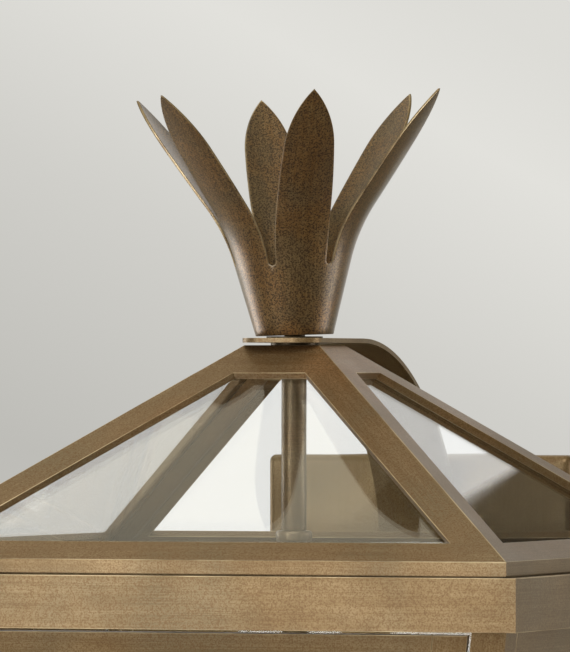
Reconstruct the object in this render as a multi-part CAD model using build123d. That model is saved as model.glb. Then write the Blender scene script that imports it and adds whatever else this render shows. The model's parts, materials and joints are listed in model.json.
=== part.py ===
from build123d import *
import math
import os

# Outdoor wall lantern: a square tapered glass body under a glazed pyramid roof, a six-leaf
# crown on top, and a flat strap that runs under the crown and bends down to a wall plate.
# Millimetres. X runs to the right, Y towards the wall and Z up.
# The origin is on the wall, at the middle of the wall plate.
# The lantern's own pieces are drawn about its axis, from the flat top of the roof (z = 0)
# downwards, and LANTERN moves them to their place in front of the wall.

# Roof
roof_top_half = 18.3
eave_half = 150.0
roof_rise = 95.8
roof_strip_t = 3.6
hip_strip_w = 14.4
top_strip_w = 21.6
eave_strip_w = 13.5
apex_plate_t = 4.0
rim_h = 6.3
rim_t = 5.0

# Body: four tapered sides between a top rail and a bottom rail
body_height = 300.0
bottom_half = 107.0
rail_overhang = 6.4
top_rail_h = 24.0
rail_t = 3.0
top_ledge_w = 13.4
shadow_gap = 0.6
seat_w = 7.5
bottom_lip_w = 12.0
bottom_rail_cover = 10.0
body_strip_t = 3.0
post_w = 16.0
bottom_plate_t = 2.0
bottom_plate_margin = 4.0
weep_hole_r = 4.0
weep_hole_ring_r = 60.0
weep_holes = 8
bottom_screw_r = 1.5
bottom_screw_head_r = 3.0
bottom_screw_head_h = 2.0
bottom_screw_gap = 0.2
bottom_screw_side = 101.0

# Glass
pane_t = 3.0
roof_lap = 5.0
body_lap = 6.0
clip_t = 1.0
clip_w = 8.0
clip_foot = 2.4
clip_tongue = 3.0
clip_gap = 0.2

# Door
door_gap = 1.5
hinge_gap = 1.0
stile_w = 16.0
door_rail_w = 13.0
stop_t = 1.5
stop_reach = 4.0
stop_h = 14.0
stop_gap = 0.3

# Hinges
knuckle_r = 3.5
knuckle_lift = 0.3
knuckle_len = 9.0
knuckle_gap = 0.3
pin_r = 1.5
pin_gap = 0.05
pin_head_r = 2.6
pin_head_h = 2.0
leaf_w = 11.0
leaf_t = 1.2
leaf_edge = 0.4
leaf_clear = 0.5
hinge_inset = 42.0

# Latch
latch_from_edge = 5.2
spindle_r = 2.5
spindle_gap = 0.06
latch_rose_r = 7.0
latch_rose_t = 2.0
latch_rose_lift = 0.3
grip_len = 18.0
grip_w = 5.0
grip_h = 7.0
cam_t = 2.0
cam_clear = 0.5
cam_half_w = 3.5
cam_reach = 14.0

# Centre rod, tubes and washers
rod_r = 4.8
rod_bore_r = 3.0
rod_gap = 0.2
tube_r = 5.75
tube_top_len = 82.5
collar_r = 8.35
collar_h = 5.0
stem_len = 230.0
lower_washer_t = 1.2
lower_washer_r = 11.0
upper_washer_t = 0.8
upper_washer_r = 13.0

# Crown
crown_base_r = 17.9
crown_root_r = 27.1
crown_root_z = 34.0
crown_bend_r = 82.6
crown_bend_deg = 19.9
crown_tip_z = 110.8
crown_t = 1.2
crown_turn_deg = -1.4
crown_lean_deg = 1.6
crown_nod_deg = 0.7
leaf_count = 6
slot_r = 1.95
leaf_wide_half = 12.7
leaf_wide_z = 65.0
leaf_shoulder_half = 11.6
leaf_shoulder_z = 86.0
crown_floor_t = 3.0
crown_boss_r = 9.0
crown_boss_h = 12.0
crown_thread_gap = 0.1
crown_seat_gap = 0.3

# Strap
strap_w = 38.0
strap_t = 2.1
strap_front = 27.4
strap_end_r = 11.0
strap_back = 43.5
strap_bend_r = 161.4
strap_bend_deg = 52.7
strap_low_bend_r = 50.0
strap_leg = 75.0
strap_corner = 6.0
strap_screw_r = 2.4
strap_screw_gap = 0.2
strap_screw_in = 18.0
strap_screw_pitch = 38.0
screw_head_r = 5.0
screw_head_h = 3.0
strap_nut_t = 4.0
strap_nut_af = 8.0
screw_tail = 1.5

# Wall plate and mounting bar
plate_w = 152.0
plate_h = 340.0
plate_depth = 18.0
plate_sheet = 1.5
plate_corner_r = 3.0
plate_edge_r = 4.0
plate_below_apex = 52.0
bar_len = 132.0
bar_h = 22.0
bar_t = 2.5
bar_corner_r = 6.0
bar_centre_hole_r = 5.2
box_screw_pitch = 88.9
box_slot_r = 2.4
box_slot_len = 12.0
stud_pitch = 112.0
stud_r = 2.5
stud_gap = 0.1
stud_out = 9.0
stud_nut_t = 3.0
stud_nut_af = 8.0
cap_nut_r = 7.0
cap_nut_h = 13.0
cap_nut_dome = 5.0
cap_nut_bore = 10.0
cap_nut_grooves = 12
cap_nut_groove_r = 0.8
cap_washer_r = 8.5
cap_washer_t = 1.0
bushing_z = 155.0
bushing_r = 6.0
bushing_bore_r = 4.0
bushing_flange_r = 8.5
bushing_flange_t = 1.2
ground_screw_x = 22.0
ground_screw_r = 1.9
ground_head_r = 4.0
ground_head_h = 2.4

# Candle cluster
hub_r = 16.0
hub_h = 22.0
hub_neck_r = 9.0
hub_nut_r = 9.0
hub_nut_h = 10.0
arm_r = 4.0
arm_reach = 52.0
arm_bend_r = 15.0
arm_rise = 24.0
arm_drop = 11.0
candles = 4
candle_first_deg = 45.0
pan_r = 18.0
pan_t = 1.2
pan_depth = 5.0
pan_floor_r = 12.5
sleeve_r = 11.0
sleeve_t = 0.8
sleeve_len = 100.0
holder_r = 9.8
holder_len = 42.0
holder_below_top = 2.0
holder_bore_depth = 24.0
holder_stem_r = 4.0
bulb_base_r = 6.0
bulb_base_len = 23.0
bulb_thread_gap = 0.25
bulb_tip_r = 2.0
bulb_tip_h = 2.0
bulb_neck_r = 5.6
bulb_neck_h = 6.0
bulb_r = 17.0
bulb_wide_z = 32.0
bulb_len = 76.0
bulb_wall = 0.8

os.makedirs("parts", exist_ok=True)

# Levels, from the roof top down, and the lantern's place in front of the wall
eave_z = -roof_rise
rim_z = eave_z - rim_h
ledge_top_z = rim_z - shadow_gap
body_top_z = ledge_top_z - rail_t
valance_z = ledge_top_z - top_rail_h
body_bottom_z = body_top_z - body_height
bottom_rail_z = body_bottom_z - rail_t
bottom_rail_top_z = body_bottom_z + bottom_rail_cover
top_rail_half = eave_half + rail_overhang
body_top_half = top_rail_half - rail_t
strap_z = lower_washer_t
strap_top_z = strap_z + strap_t
crown_z = strap_top_z + upper_washer_t
strap_bend = math.radians(strap_bend_deg)
strap_bend_z = strap_top_z - strap_bend_r
strap_leg_y = strap_back + (strap_bend_r - strap_low_bend_r) * math.sin(strap_bend) + strap_low_bend_r
strap_leg_z = strap_bend_z + (strap_bend_r - strap_low_bend_r) * math.cos(strap_bend)
wall_to_axis = strap_leg_y + plate_depth
apex_z = plate_h / 2 + plate_below_apex
LANTERN = Pos(0, -wall_to_axis, apex_z)
SIDE_TURN = {"front": 0, "right": 90, "back": 180, "left": 270}


def write(name, *solids, place=LANTERN):
    """Move the solids of one sub-part to their place and write them as one STEP file."""
    moved = [place * solid for solid in solids]
    export_step(moved[0] if len(moved) == 1 else Compound(moved), f"parts/{name}.step")


def block(lower, upper):
    """Six-sided solid between two four-cornered faces whose corners run the same way round."""
    rings = [lower, upper] + [
        (lower[i], lower[(i + 1) % 4], upper[(i + 1) % 4], upper[i]) for i in range(4)
    ]
    faces = [Face(Wire.make_polygon([Vector(*corner) for corner in ring], close=True)) for ring in rings]
    return Solid(Shell(faces))


def fuse(first, *others):
    """Join touching solids into one."""
    whole = first
    for other in others:
        whole = whole + other
    return whole.clean().solid()


def tube(outer_r, inner_r, low_z, high_z):
    """Upright round tube between two heights, or a solid bar where the inner radius is 0."""
    ring = Circle(outer_r) - Circle(inner_r) if inner_r else Circle(outer_r)
    return extrude(Plane.XY.offset(low_z) * ring, high_z - low_z).solid()


def y_cylinder(radius, low_y, high_y, x=0, z=0):
    """Cylinder along Y between two places on Y."""
    return Pos(x, (low_y + high_y) / 2, z) * Rot(90, 0, 0) * Cylinder(radius, high_y - low_y)


def y_hexagon(across_flats, low_y, high_y, x, z):
    """Hexagonal bar along Y, as a nut's outside."""
    hexagon = RegularPolygon(across_flats / 2, 6, major_radius=False)
    return extrude(Plane((x, low_y, z), x_dir=(1, 0, 0), z_dir=(0, 1, 0)) * hexagon, high_y - low_y).solid()


class Side:
    """One flat side of a square tapered shape, drawn as the front one.

    A place on it is u (across, from the middle), v (up the slope, from the bottom edge) and
    n (outwards, square to the side). Corners at u = half(v, n) lie on the mitre between sides.
    """

    def __init__(self, low_half, high_half, low_z, high_z):
        self.low_half, self.low_z, self.high_z = low_half, low_z, high_z
        run, rise = low_half - high_half, high_z - low_z
        self.length = math.hypot(run, rise)
        self.lean, self.climb = run / self.length, rise / self.length
        self.skew = math.hypot(1, self.lean)

    def half(self, v, n=0.0):
        return self.low_half - v * self.lean + n * self.climb

    def v_at(self, z, n=0.0):
        return (z - self.low_z - n * self.lean) / self.climb

    def point(self, u, v, n=0.0):
        return Vector(u, -self.half(v, n), self.low_z + v * self.climb + n * self.lean)

    def inset(self, v, width):
        """Half-width of a line that runs parallel to the side's edge, a width away from it."""
        return self.half(v) - width * self.skew

    def slab(self, outline, n_in, n_out):
        """Solid between two depths; outline(n) gives its four (u, v) corners at depth n."""
        return block(*[[self.point(u, v, n) for u, v in outline(n)] for n in (n_in, n_out)])

    def bar(self, half_at, v_low, v_high, n_in, n_out):
        """Strip across the side; half_at(v, n) is its half-width and v_low(n), v_high(n) its edges."""
        def outline(n):
            low, high = v_low(n), v_high(n)
            return [(-half_at(low, n), low), (half_at(low, n), low),
                    (half_at(high, n), high), (-half_at(high, n), high)]
        return self.slab(outline, n_in, n_out)

    def upright(self, hand, outer_at, inner_at, v_low, v_high, n_in, n_out):
        """Strip up one edge of the side, between two lines; hand is -1 at the left and 1 at the right."""
        def outline(n):
            low, high = v_low(n), v_high(n)
            return [(hand * outer_at(low, n), low), (hand * inner_at(low, n), low),
                    (hand * inner_at(high, n), high), (hand * outer_at(high, n), high)]
        return self.slab(outline, n_in, n_out)

    def frame(self, u, v, tilt=0.0):
        """Plane on the side's surface: x across, y up the slope, z outwards, turned by a tilt."""
        here = self.point(u, v)
        up = self.point(u, v + 1) - here
        across = Vector(1, 0, 0)
        turned = across * math.cos(tilt) + up * math.sin(tilt)
        return Plane(origin=here, x_dir=turned, z_dir=across.cross(up))


def mitred_bar(outer_half, inner_half, low_z, high_z):
    """Level bar along the front of a square ring, mitred at both ends."""
    rings = [[(-outer_half, -outer_half, z), (outer_half, -outer_half, z),
              (inner_half, -inner_half, z), (-inner_half, -inner_half, z)] for z in (low_z, high_z)]
    return block(*rings)


def at_four_sides(solid):
    """A front piece and its copies on the other three sides."""
    return [Rot(0, 0, turn) * solid for turn in SIDE_TURN.values()]


def at_fixed_sides(*solids):
    """Copies of front pieces on the three sides that have no door."""
    turns = [turn for side_name, turn in SIDE_TURN.items() if side_name != "front"]
    return [Rot(0, 0, turn) * solid for turn in turns for solid in solids]


def level_cut(side, z):
    """Edge of a strip that is cut level, at a height."""
    return lambda n: side.v_at(z, n)


def square_cut(v):
    """Edge of a strip that is cut square to the side, at a place up the slope."""
    return lambda n: v


# Roof: four frames of flat strips, mitred along the hips
roof = Side(eave_half, roof_top_half, eave_z, 0.0)
eave_strip_top = eave_strip_w
top_strip_bottom = roof.length - top_strip_w
roof_inner = -roof_strip_t


def roof_strips():
    """Eave strip, top strip and two hip strips of one roof side."""
    def hip(v, n):
        return roof.half(v, n)

    def hip_inner(v, n):
        return roof.inset(v, hip_strip_w)

    lower_edge, upper_edge = square_cut(eave_strip_top), square_cut(top_strip_bottom)
    eave = roof.bar(hip, level_cut(roof, eave_z), lower_edge, roof_inner, 0)
    top = roof.bar(hip, upper_edge, level_cut(roof, 0.0), roof_inner, 0)
    hips = [roof.upright(hand, hip, hip_inner, lower_edge, upper_edge, roof_inner, 0) for hand in (-1, 1)]
    return [eave, top] + hips


def pane(side, edge_w, lap, v_low, v_high, n_out):
    """Glass pane behind a frame: its edges lie a lap past the frame's inner edges."""
    def half_at(v, n):
        return side.inset(v, edge_w - lap)
    return side.bar(half_at, square_cut(v_low - lap), square_cut(v_high + lap), n_out - pane_t, n_out)


def clip(side, u, v_edge, upwards, n_out):
    """Bent tab: its foot is on the frame, its tongue over the pane, whose edge is at v_edge."""
    way = 1 if upwards else -1
    riser = way * (-clip_gap)
    foot_end = riser - way * (clip_t + clip_foot)
    tongue_end = way * clip_tongue
    n_pane = n_out - pane_t

    def piece(w0, w1, n0, n1):
        low, high = sorted((v_edge + w0, v_edge + w1))
        left, right = u - clip_w / 2, u + clip_w / 2
        return side.slab(lambda n: [(left, low), (right, low), (right, high), (left, high)], n0, n1)

    foot = piece(foot_end, riser, n_out - clip_t, n_out)
    wall = piece(riser - way * clip_t, riser, n_pane - clip_t, n_out - clip_t)
    tongue = piece(riser, tongue_end, n_pane - clip_t, n_pane)
    return fuse(foot, wall, tongue)


roof_frame_solids = roof_strips()
for side_name, turn in SIDE_TURN.items():
    write(f"roof_frame_{side_name}", *[Rot(0, 0, turn) * strip for strip in roof_frame_solids])

roof_pane = pane(roof, hip_strip_w, roof_lap, eave_strip_top, top_strip_bottom, roof_inner)
write("roof_panes", *at_four_sides(roof_pane))

roof_clip_u = roof.inset(eave_strip_top, hip_strip_w) / 2
roof_clips = [clip(roof, u, eave_strip_top - roof_lap, True, roof_inner)
              for u in (-roof_clip_u, roof_clip_u)]
roof_clips.append(clip(roof, 0, top_strip_bottom + roof_lap, False, roof_inner))

write("roof_rim", *at_four_sides(mitred_bar(eave_half, eave_half - rim_t, rim_z, eave_z)))

# Apex plate: a plug that fills the square between the four frames' top edges
plug_top_half = roof.half(roof.v_at(0.0, roof_inner), roof_inner)
plug_low_half = roof.half(roof.v_at(-apex_plate_t, roof_inner), roof_inner)
plug = block(*[[(-h, -h, z), (h, -h, z), (h, h, z), (-h, h, z)]
               for h, z in ((plug_low_half, -apex_plate_t), (plug_top_half, 0.0))])
write("apex_plate", (plug - Cylinder(rod_r + rod_gap, 4 * apex_plate_t)).solid())

# Body: posts of two mitred strips, cross bars between them, and rails of bent section
body = Side(bottom_half, body_top_half, body_bottom_z, body_top_z)
body_inner = -body_strip_t


def corner_post():
    """Sloping corner post between the front and the right side."""
    def edge(v, n):
        return body.half(v, n)

    def inner(v, n):
        return body.inset(v, post_w)

    legs = [body.upright(hand, edge, inner, level_cut(body, body_bottom_z), level_cut(body, body_top_z),
                         body_inner, 0) for hand in (1, -1)]
    return fuse(legs[0], Rot(0, 0, 90) * legs[1])


def cross_bar(low_cut, high_cut):
    """Bar between the posts, from one cut up the slope to the next."""
    return body.bar(lambda v, n: body.inset(v, post_w), low_cut, high_cut, body_inner, 0)


write("corner_posts", *at_four_sides(corner_post()))

door_low = body.v_at(bottom_rail_top_z) + door_gap
door_high = body.v_at(valance_z) - door_gap
bay_low = door_low + door_rail_w
bay_high = door_high - door_rail_w
foot_cut, head_cut = level_cut(body, body_bottom_z), level_cut(body, body_top_z)
front_bars = [cross_bar(foot_cut, square_cut(door_low - door_gap)),
              cross_bar(square_cut(door_high + door_gap), head_cut)]
fixed_bars = [cross_bar(foot_cut, square_cut(bay_low)), cross_bar(square_cut(bay_high), head_cut)]
write("cross_bars", *front_bars, *at_fixed_sides(*fixed_bars))

body_pane = pane(body, post_w, body_lap, bay_low, bay_high, body_inner)
write("body_panes", *at_fixed_sides(body_pane))

bay_clip_u = body.inset(bay_low, post_w) / 2
bay_clips = [clip(body, u, bay_low - body_lap, True, body_inner) for u in (-bay_clip_u, bay_clip_u)]
bay_clips += [clip(body, u, bay_high + body_lap, False, body_inner) for u in (-bay_clip_u, bay_clip_u)]
all_roof_clips = [copy for one in roof_clips for copy in at_four_sides(one)]
write("glass_clips", *all_roof_clips, *at_fixed_sides(*bay_clips))

ledge_half = top_rail_half - rail_t - top_ledge_w
top_rail = fuse(
    mitred_bar(top_rail_half, body_top_half, valance_z, ledge_top_z),
    mitred_bar(body_top_half, ledge_half, body_top_z, ledge_top_z),
    mitred_bar(ledge_half + seat_w, ledge_half, ledge_top_z, rim_z),
)
bottom_inner_half = body.half(body.v_at(bottom_rail_top_z))
bottom_rail = fuse(
    mitred_bar(bottom_inner_half + rail_t, bottom_inner_half, bottom_rail_z, bottom_rail_top_z),
    mitred_bar(bottom_inner_half, bottom_half - bottom_lip_w, bottom_rail_z, body_bottom_z),
)
screw_spots = [Pos(x, y, 0) for x, y in ((bottom_screw_side, 0), (-bottom_screw_side, 0),
                                         (0, bottom_screw_side), (0, -bottom_screw_side))]
screw_hole = Pos(0, 0, bottom_rail_z) * Cylinder(bottom_screw_r + bottom_screw_gap, 4 * rail_t)
screw_holes = [spot * screw_hole for spot in screw_spots]
write("top_rails", *at_four_sides(top_rail))
write("bottom_rails", *[(rail - screw_holes).solid() for rail in at_four_sides(bottom_rail)])

plate_low_z = bottom_rail_z - bottom_plate_t
tray_w = 2 * (bottom_inner_half + rail_t - bottom_plate_margin)
tray = Pos(0, 0, bottom_rail_z - bottom_plate_t / 2) * Box(tray_w, tray_w, bottom_plate_t)
weeps = [loc * Pos(0, 0, bottom_rail_z) * Cylinder(weep_hole_r, 4 * bottom_plate_t)
         for loc in PolarLocations(weep_hole_ring_r, weep_holes)]
write("bottom_plate", (tray - weeps - screw_holes).solid())

screw_shank = tube(bottom_screw_r, 0, plate_low_z, body_bottom_z)
screw_head = tube(bottom_screw_head_r, 0, plate_low_z - bottom_screw_head_h, plate_low_z)
bottom_screw = fuse(screw_shank, screw_head)
write("bottom_screws", *[spot * bottom_screw for spot in screw_spots])

# Door: a frame of four strips that fills the front bay, hung at its left stile
door_left_w = post_w + hinge_gap
door_right_w = post_w + door_gap


def door_strips():
    """Two stiles, and a top and a bottom rail between them."""
    left_inner, right_inner = door_left_w + stile_w, door_right_w + stile_w

    def stile(hand, edge_w):
        def outer(v, n):
            return body.inset(v, edge_w)

        def inner(v, n):
            return body.inset(v, edge_w + stile_w)

        return body.upright(hand, outer, inner, square_cut(door_low), square_cut(door_high), body_inner, 0)

    def rail(low, high):
        corners = [(-body.inset(low, left_inner), low), (body.inset(low, right_inner), low),
                   (body.inset(high, right_inner), high), (-body.inset(high, left_inner), high)]
        return body.slab(lambda n: corners, body_inner, 0)

    return [stile(-1, door_left_w), stile(1, door_right_w), rail(door_low, bay_low), rail(bay_high, door_high)]


stile_left, stile_right, rail_low, rail_high = door_strips()
latch_v = (door_low + door_high) / 2
latch_plane = body.frame(body.inset(latch_v, door_right_w + latch_from_edge), latch_v, math.atan(body.lean))
spindle_hole = latch_plane.location * Cylinder(spindle_r + spindle_gap, 6 * body_strip_t)
write("door_frame", stile_left, (stile_right - spindle_hole).solid(), rail_low, rail_high)

door_inner_w = post_w + stile_w + (hinge_gap + door_gap) / 2
write("door_glass", pane(body, door_inner_w, body_lap, bay_low, bay_high, body_inner))
door_clip_u = body.inset(bay_low, door_inner_w) / 2
door_clips = [clip(body, u, bay_low - body_lap, True, body_inner) for u in (-door_clip_u, door_clip_u)]
door_clips += [clip(body, u, bay_high + body_lap, False, body_inner) for u in (-door_clip_u, door_clip_u)]
write("door_glass_clips", *door_clips)


def door_stop(v):
    """Tab on the back of the front right post that reaches behind the door's stile."""
    top = v + stop_h

    def slab(w0, w1, n0, n1):
        corners = [(body.inset(v, post_w + w1), v), (body.inset(v, post_w + w0), v),
                   (body.inset(top, post_w + w0), top), (body.inset(top, post_w + w1), top)]
        return body.slab(lambda n: corners, n0, n1)

    foot = slab(-stop_reach, 0, body_inner - stop_gap, body_inner)
    tongue = slab(-stop_reach, door_gap + stop_reach, body_inner - stop_gap - stop_t, body_inner - stop_gap)
    return fuse(foot, tongue)


write("door_stops", *[door_stop(v) for v in (door_low + hinge_inset, door_high - hinge_inset - stop_h)])

# Hinges: local x points across the door, y along the pin and z outwards
hinge_line_w = post_w + hinge_gap / 2
hinge_plane = body.frame(-body.inset(0, hinge_line_w), 0, -math.atan(body.lean))
pin_n = knuckle_r + knuckle_lift
hinge_len = 3 * knuckle_len + 2 * knuckle_gap


def along_pin(radius, start, length):
    """Round piece on the pin's line, in the hinge's own frame."""
    return Pos(0, start + length / 2, pin_n) * Rot(90, 0, 0) * Cylinder(radius, length)


def leaf_box(hand, inner_x, start, length):
    """Flat leaf on one hand of the pin, from a distance inner_x out to the leaf's edge."""
    width = leaf_w - inner_x
    return Pos(hand * (inner_x + width / 2), start + length / 2, leaf_t / 2) * Box(width, length, leaf_t)


def hinge(start):
    """Post leaf with two knuckles, door leaf with one, and the pin, for one hinge."""
    bore = along_pin(pin_r + pin_gap, start - knuckle_len, hinge_len + 2 * knuckle_len)
    middle = start + knuckle_len + knuckle_gap
    last = middle + knuckle_len + knuckle_gap
    clear = knuckle_r + leaf_clear
    post_leaf = leaf_box(-1, clear, start, hinge_len)
    for low in (start, last):
        post_leaf = post_leaf + leaf_box(-1, leaf_edge, low, knuckle_len)
        post_leaf = post_leaf + along_pin(knuckle_r, low, knuckle_len)
    door_leaf = leaf_box(1, clear, start, hinge_len) + leaf_box(1, leaf_edge, middle, knuckle_len)
    door_leaf = door_leaf + along_pin(knuckle_r, middle, knuckle_len)
    pin = along_pin(pin_r, start, hinge_len)
    for low in (start - pin_head_h, start + hinge_len):
        pin = pin + along_pin(pin_head_r, low, pin_head_h)
    pieces = ((post_leaf - bore).solid(), (door_leaf - bore).solid(), pin.solid())
    return [hinge_plane.location * piece for piece in pieces]


hinge_starts = (door_low + hinge_inset, door_high - hinge_inset - hinge_len)
hinges = [hinge(start) for start in hinge_starts]
write("hinge_leaves_post", *[one[0] for one in hinges])
write("hinge_leaves_door", *[one[1] for one in hinges])
write("hinge_pins", *[one[2] for one in hinges])

# Latch: a turned rose with a grip outside, a spindle through the stile and a cam inside
rose = Pos(0, 0, latch_rose_lift + latch_rose_t / 2) * Cylinder(latch_rose_r, latch_rose_t)
rose = fillet(rose.edges().group_by(Axis.Z)[-1], latch_rose_t / 3)
grip = Pos(0, 0, latch_rose_lift + latch_rose_t + grip_h / 2) * Box(grip_w, grip_len, grip_h)
grip = fillet(grip.edges().filter_by(Axis.Z), grip_w / 3)
grip = fillet(grip.edges().group_by(Axis.Z)[-1], grip_w / 4)
cam_n = body_inner - cam_clear
spindle = Pos(0, 0, (cam_n - cam_t) / 2) * Cylinder(spindle_r, cam_t - cam_n)
spindle = spindle + Pos(0, 0, latch_rose_lift / 2) * Cylinder(spindle_r, latch_rose_lift)
cam = Pos(0, (cam_reach - cam_half_w) / 2, 0) * Box(2 * cam_half_w, cam_reach - cam_half_w, cam_t)
cam = cam + Cylinder(cam_half_w, cam_t) + Pos(0, cam_reach - cam_half_w, 0) * Cylinder(cam_half_w, cam_t)
cam = Pos(0, 0, cam_n - cam_t / 2) * (cam - Cylinder(spindle_r, 2 * cam_t))
write("latch_knob", latch_plane.location * fuse(rose, grip, spindle))
write("latch_cam", latch_plane.location * cam.solid())

# Crown: a spun cone, slit into six leaves, on a threaded floor
crown_cone_deg = math.degrees(math.atan((crown_root_r - crown_base_r) / crown_root_z))


def crown_line(depth):
    """Outline from the base to the leaf tips, a depth inside the outer surface: cone, bend, lean."""
    away = math.radians(crown_cone_deg)
    root = Vector(crown_root_r - depth * math.cos(away), crown_root_z + depth * math.sin(away))
    foot = Vector(root.X - root.Y * math.tan(away), 0)
    cone = Line(foot, root)
    bend = JernArc(root, cone % 1, crown_bend_r + depth, -crown_bend_deg)
    rise = (crown_tip_z - (bend @ 1).Y) / (bend % 1).Y
    return cone, bend, Line(bend @ 1, bend @ 1 + (bend % 1) * rise)


def crown_shell():
    """Spun sheet before it is slit."""
    outer, inner = crown_line(0), crown_line(crown_t)
    closing = [Line(outer[0] @ 0, inner[0] @ 0), Line(outer[2] @ 1, inner[2] @ 1)]
    profile = make_face(Wire(list(outer) + list(inner) + closing))
    return revolve(Plane.XZ * profile, Axis.Z)


def leaf_prism(turn):
    """Pointed leaf outline, drawn square to its own direction and run outwards through the sheet."""
    slot_share = math.asin(slot_r / crown_root_r)
    root_half = crown_root_r * math.sin(math.pi / leaf_count - slot_share)
    low_z = crown_root_z / 2
    edge = ThreePointArc((root_half, crown_root_z), (leaf_wide_half, leaf_wide_z),
                         (leaf_shoulder_half, leaf_shoulder_z))
    point = TangentArc(edge @ 1, (0, crown_tip_z), tangent=edge % 1)
    half = Polyline((0, crown_tip_z), (0, low_z), (root_half, low_z), (root_half, crown_root_z))
    right = make_face(Wire([edge, point] + list(half.edges())))
    outline = right + mirror(right, Plane.YZ)
    return Rot(0, 0, turn) * extrude(Plane.XZ * outline, 2 * crown_tip_z)


leaf_turns = [360 / leaf_count * (i + 0.5) + crown_turn_deg for i in range(leaf_count)]
ring = Pos(0, 0, crown_root_z / 2) * Cylinder(2 * crown_root_r, crown_root_z)
sheet = crown_shell()
kept = [sheet & ring] + [sheet & leaf_prism(turn) for turn in leaf_turns]
crown = kept[0]
for leaf in kept[1:]:
    crown = crown + leaf
slots = [Rot(0, 0, turn - 180 / leaf_count) * Pos(0, -crown_root_r, crown_root_z) * Rot(90, 0, 0)
         * Cylinder(slot_r, crown_root_r) for turn in leaf_turns]
crown = (crown - slots).solid()
crown_place = Pos(0, 0, crown_z) * Rot(crown_nod_deg, -crown_lean_deg, 0)

floor_r = crown_base_r - crown_t / math.cos(math.radians(crown_cone_deg))
floor_top_r = floor_r + crown_floor_t * math.tan(math.radians(crown_cone_deg))
floor = Pos(0, 0, crown_floor_t / 2) * Cone(floor_r, floor_top_r, crown_floor_t)
boss = Pos(0, 0, crown_boss_h / 2) * Cylinder(crown_boss_r, crown_boss_h)
crown_bore = Pos(0, 0, crown_z) * Cylinder(rod_r + crown_thread_gap, 6 * crown_boss_h)
crown_nut = crown_place * fuse(floor, boss) - crown_bore
crown_tilt = math.acos(math.cos(math.radians(crown_lean_deg)) * math.cos(math.radians(crown_nod_deg)))
crown_lift = Pos(0, 0, crown_base_r * math.sin(crown_tilt))
write("crown_leaves", crown_lift * crown_place * crown)
write("crown_nut", crown_lift * crown_nut.solid())

# Strap: flat over the roof, bent down to the wall plate
top_back = (strap_back, strap_top_z)
inner_back = (strap_back, strap_z)
leg_end_z = strap_leg_z - strap_leg
leg_front_y = strap_leg_y - strap_t


def bend(depth):
    """The strap's bend, a depth inside its outer face: a wide arc, then a narrow one to upright."""
    low_centre = (strap_leg_y - strap_low_bend_r, strap_leg_z)
    wide = CenterArc((strap_back, strap_bend_z), strap_bend_r - depth, 90 - strap_bend_deg, strap_bend_deg)
    narrow = CenterArc(low_centre, strap_low_bend_r - depth, 0, 90 - strap_bend_deg)
    return [wide, narrow]


strap_outline = Wire([
    Line((-strap_front, strap_top_z), top_back),
    *bend(0),
    Line((strap_leg_y, strap_leg_z), (strap_leg_y, leg_end_z)),
    Line((strap_leg_y, leg_end_z), (leg_front_y, leg_end_z)),
    Line((leg_front_y, leg_end_z), (leg_front_y, strap_leg_z)),
    *bend(strap_t),
    Line(inner_back, (-strap_front, strap_z)),
    Line((-strap_front, strap_z), (-strap_front, strap_top_z)),
])
strap = extrude(Plane.YZ * make_face(strap_outline), strap_w / 2, both=True)
front_corners = strap.edges().filter_by(Axis.Z).group_by(Axis.Y)[0]
strap = fillet(front_corners, strap_end_r)
leg_corners = strap.edges().filter_by(Axis.Y).group_by(Axis.Z)[0]
strap = fillet(leg_corners, strap_corner)
screw_zs = [leg_end_z + strap_screw_in + i * strap_screw_pitch for i in range(2)]
strap = strap - Cylinder(rod_r + rod_gap, 4 * strap_top_z)
strap_hole_r = strap_screw_r + strap_screw_gap
for z in screw_zs:
    strap = strap - y_cylinder(strap_hole_r, leg_front_y - strap_t, strap_leg_y + strap_t, z=z)
write("strap_arm", strap.solid())

screws, nuts = [], []
sheet_back_y = strap_leg_y + plate_sheet
nut_back_y = sheet_back_y + strap_nut_t
for z in screw_zs:
    head = y_cylinder(screw_head_r, leg_front_y - screw_head_h, leg_front_y, z=z)
    head = fillet(head.edges().group_by(Axis.Y)[0], screw_head_h / 2)
    shank = y_cylinder(strap_screw_r, leg_front_y - screw_head_h / 2, nut_back_y + screw_tail, z=z)
    screws.append(fuse(head, shank))
    nut_bore = y_cylinder(strap_screw_r + stud_gap, leg_front_y, nut_back_y + strap_nut_t, z=z)
    nuts.append((y_hexagon(strap_nut_af, sheet_back_y, nut_back_y, 0, z) - nut_bore).solid())
write("strap_screws", *screws)


# Washers, centre rod, tubes and collar
write("strap_washer", tube(lower_washer_r, rod_r + rod_gap, 0.0, strap_z))
write("crown_washer", tube(upper_washer_r, rod_r + rod_gap, strap_top_z, crown_z))
tube_top_z = -apex_plate_t
collar_top_z = tube_top_z - tube_top_len
stem_top_z = collar_top_z - collar_h
hub_top_z = stem_top_z - stem_len
hub_low_z = hub_top_z - hub_h
rod_low_z = hub_low_z - hub_nut_h
write("centre_rod", tube(rod_r, rod_bore_r, rod_low_z, crown_z + crown_boss_h - 2 * crown_seat_gap))
write("centre_tube", tube(tube_r, rod_r + rod_gap, collar_top_z, tube_top_z))
collar = Pos(0, 0, collar_top_z - collar_h / 2) * Cylinder(collar_r, collar_h)
collar = fillet(collar.edges(), collar_h / 5)
write("tube_collar", (collar - Pos(0, 0, collar_top_z) * Cylinder(rod_r + rod_gap, 4 * collar_h)).solid())
write("lower_tube", tube(tube_r, rod_r + rod_gap, hub_top_z, stem_top_z))

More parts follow.
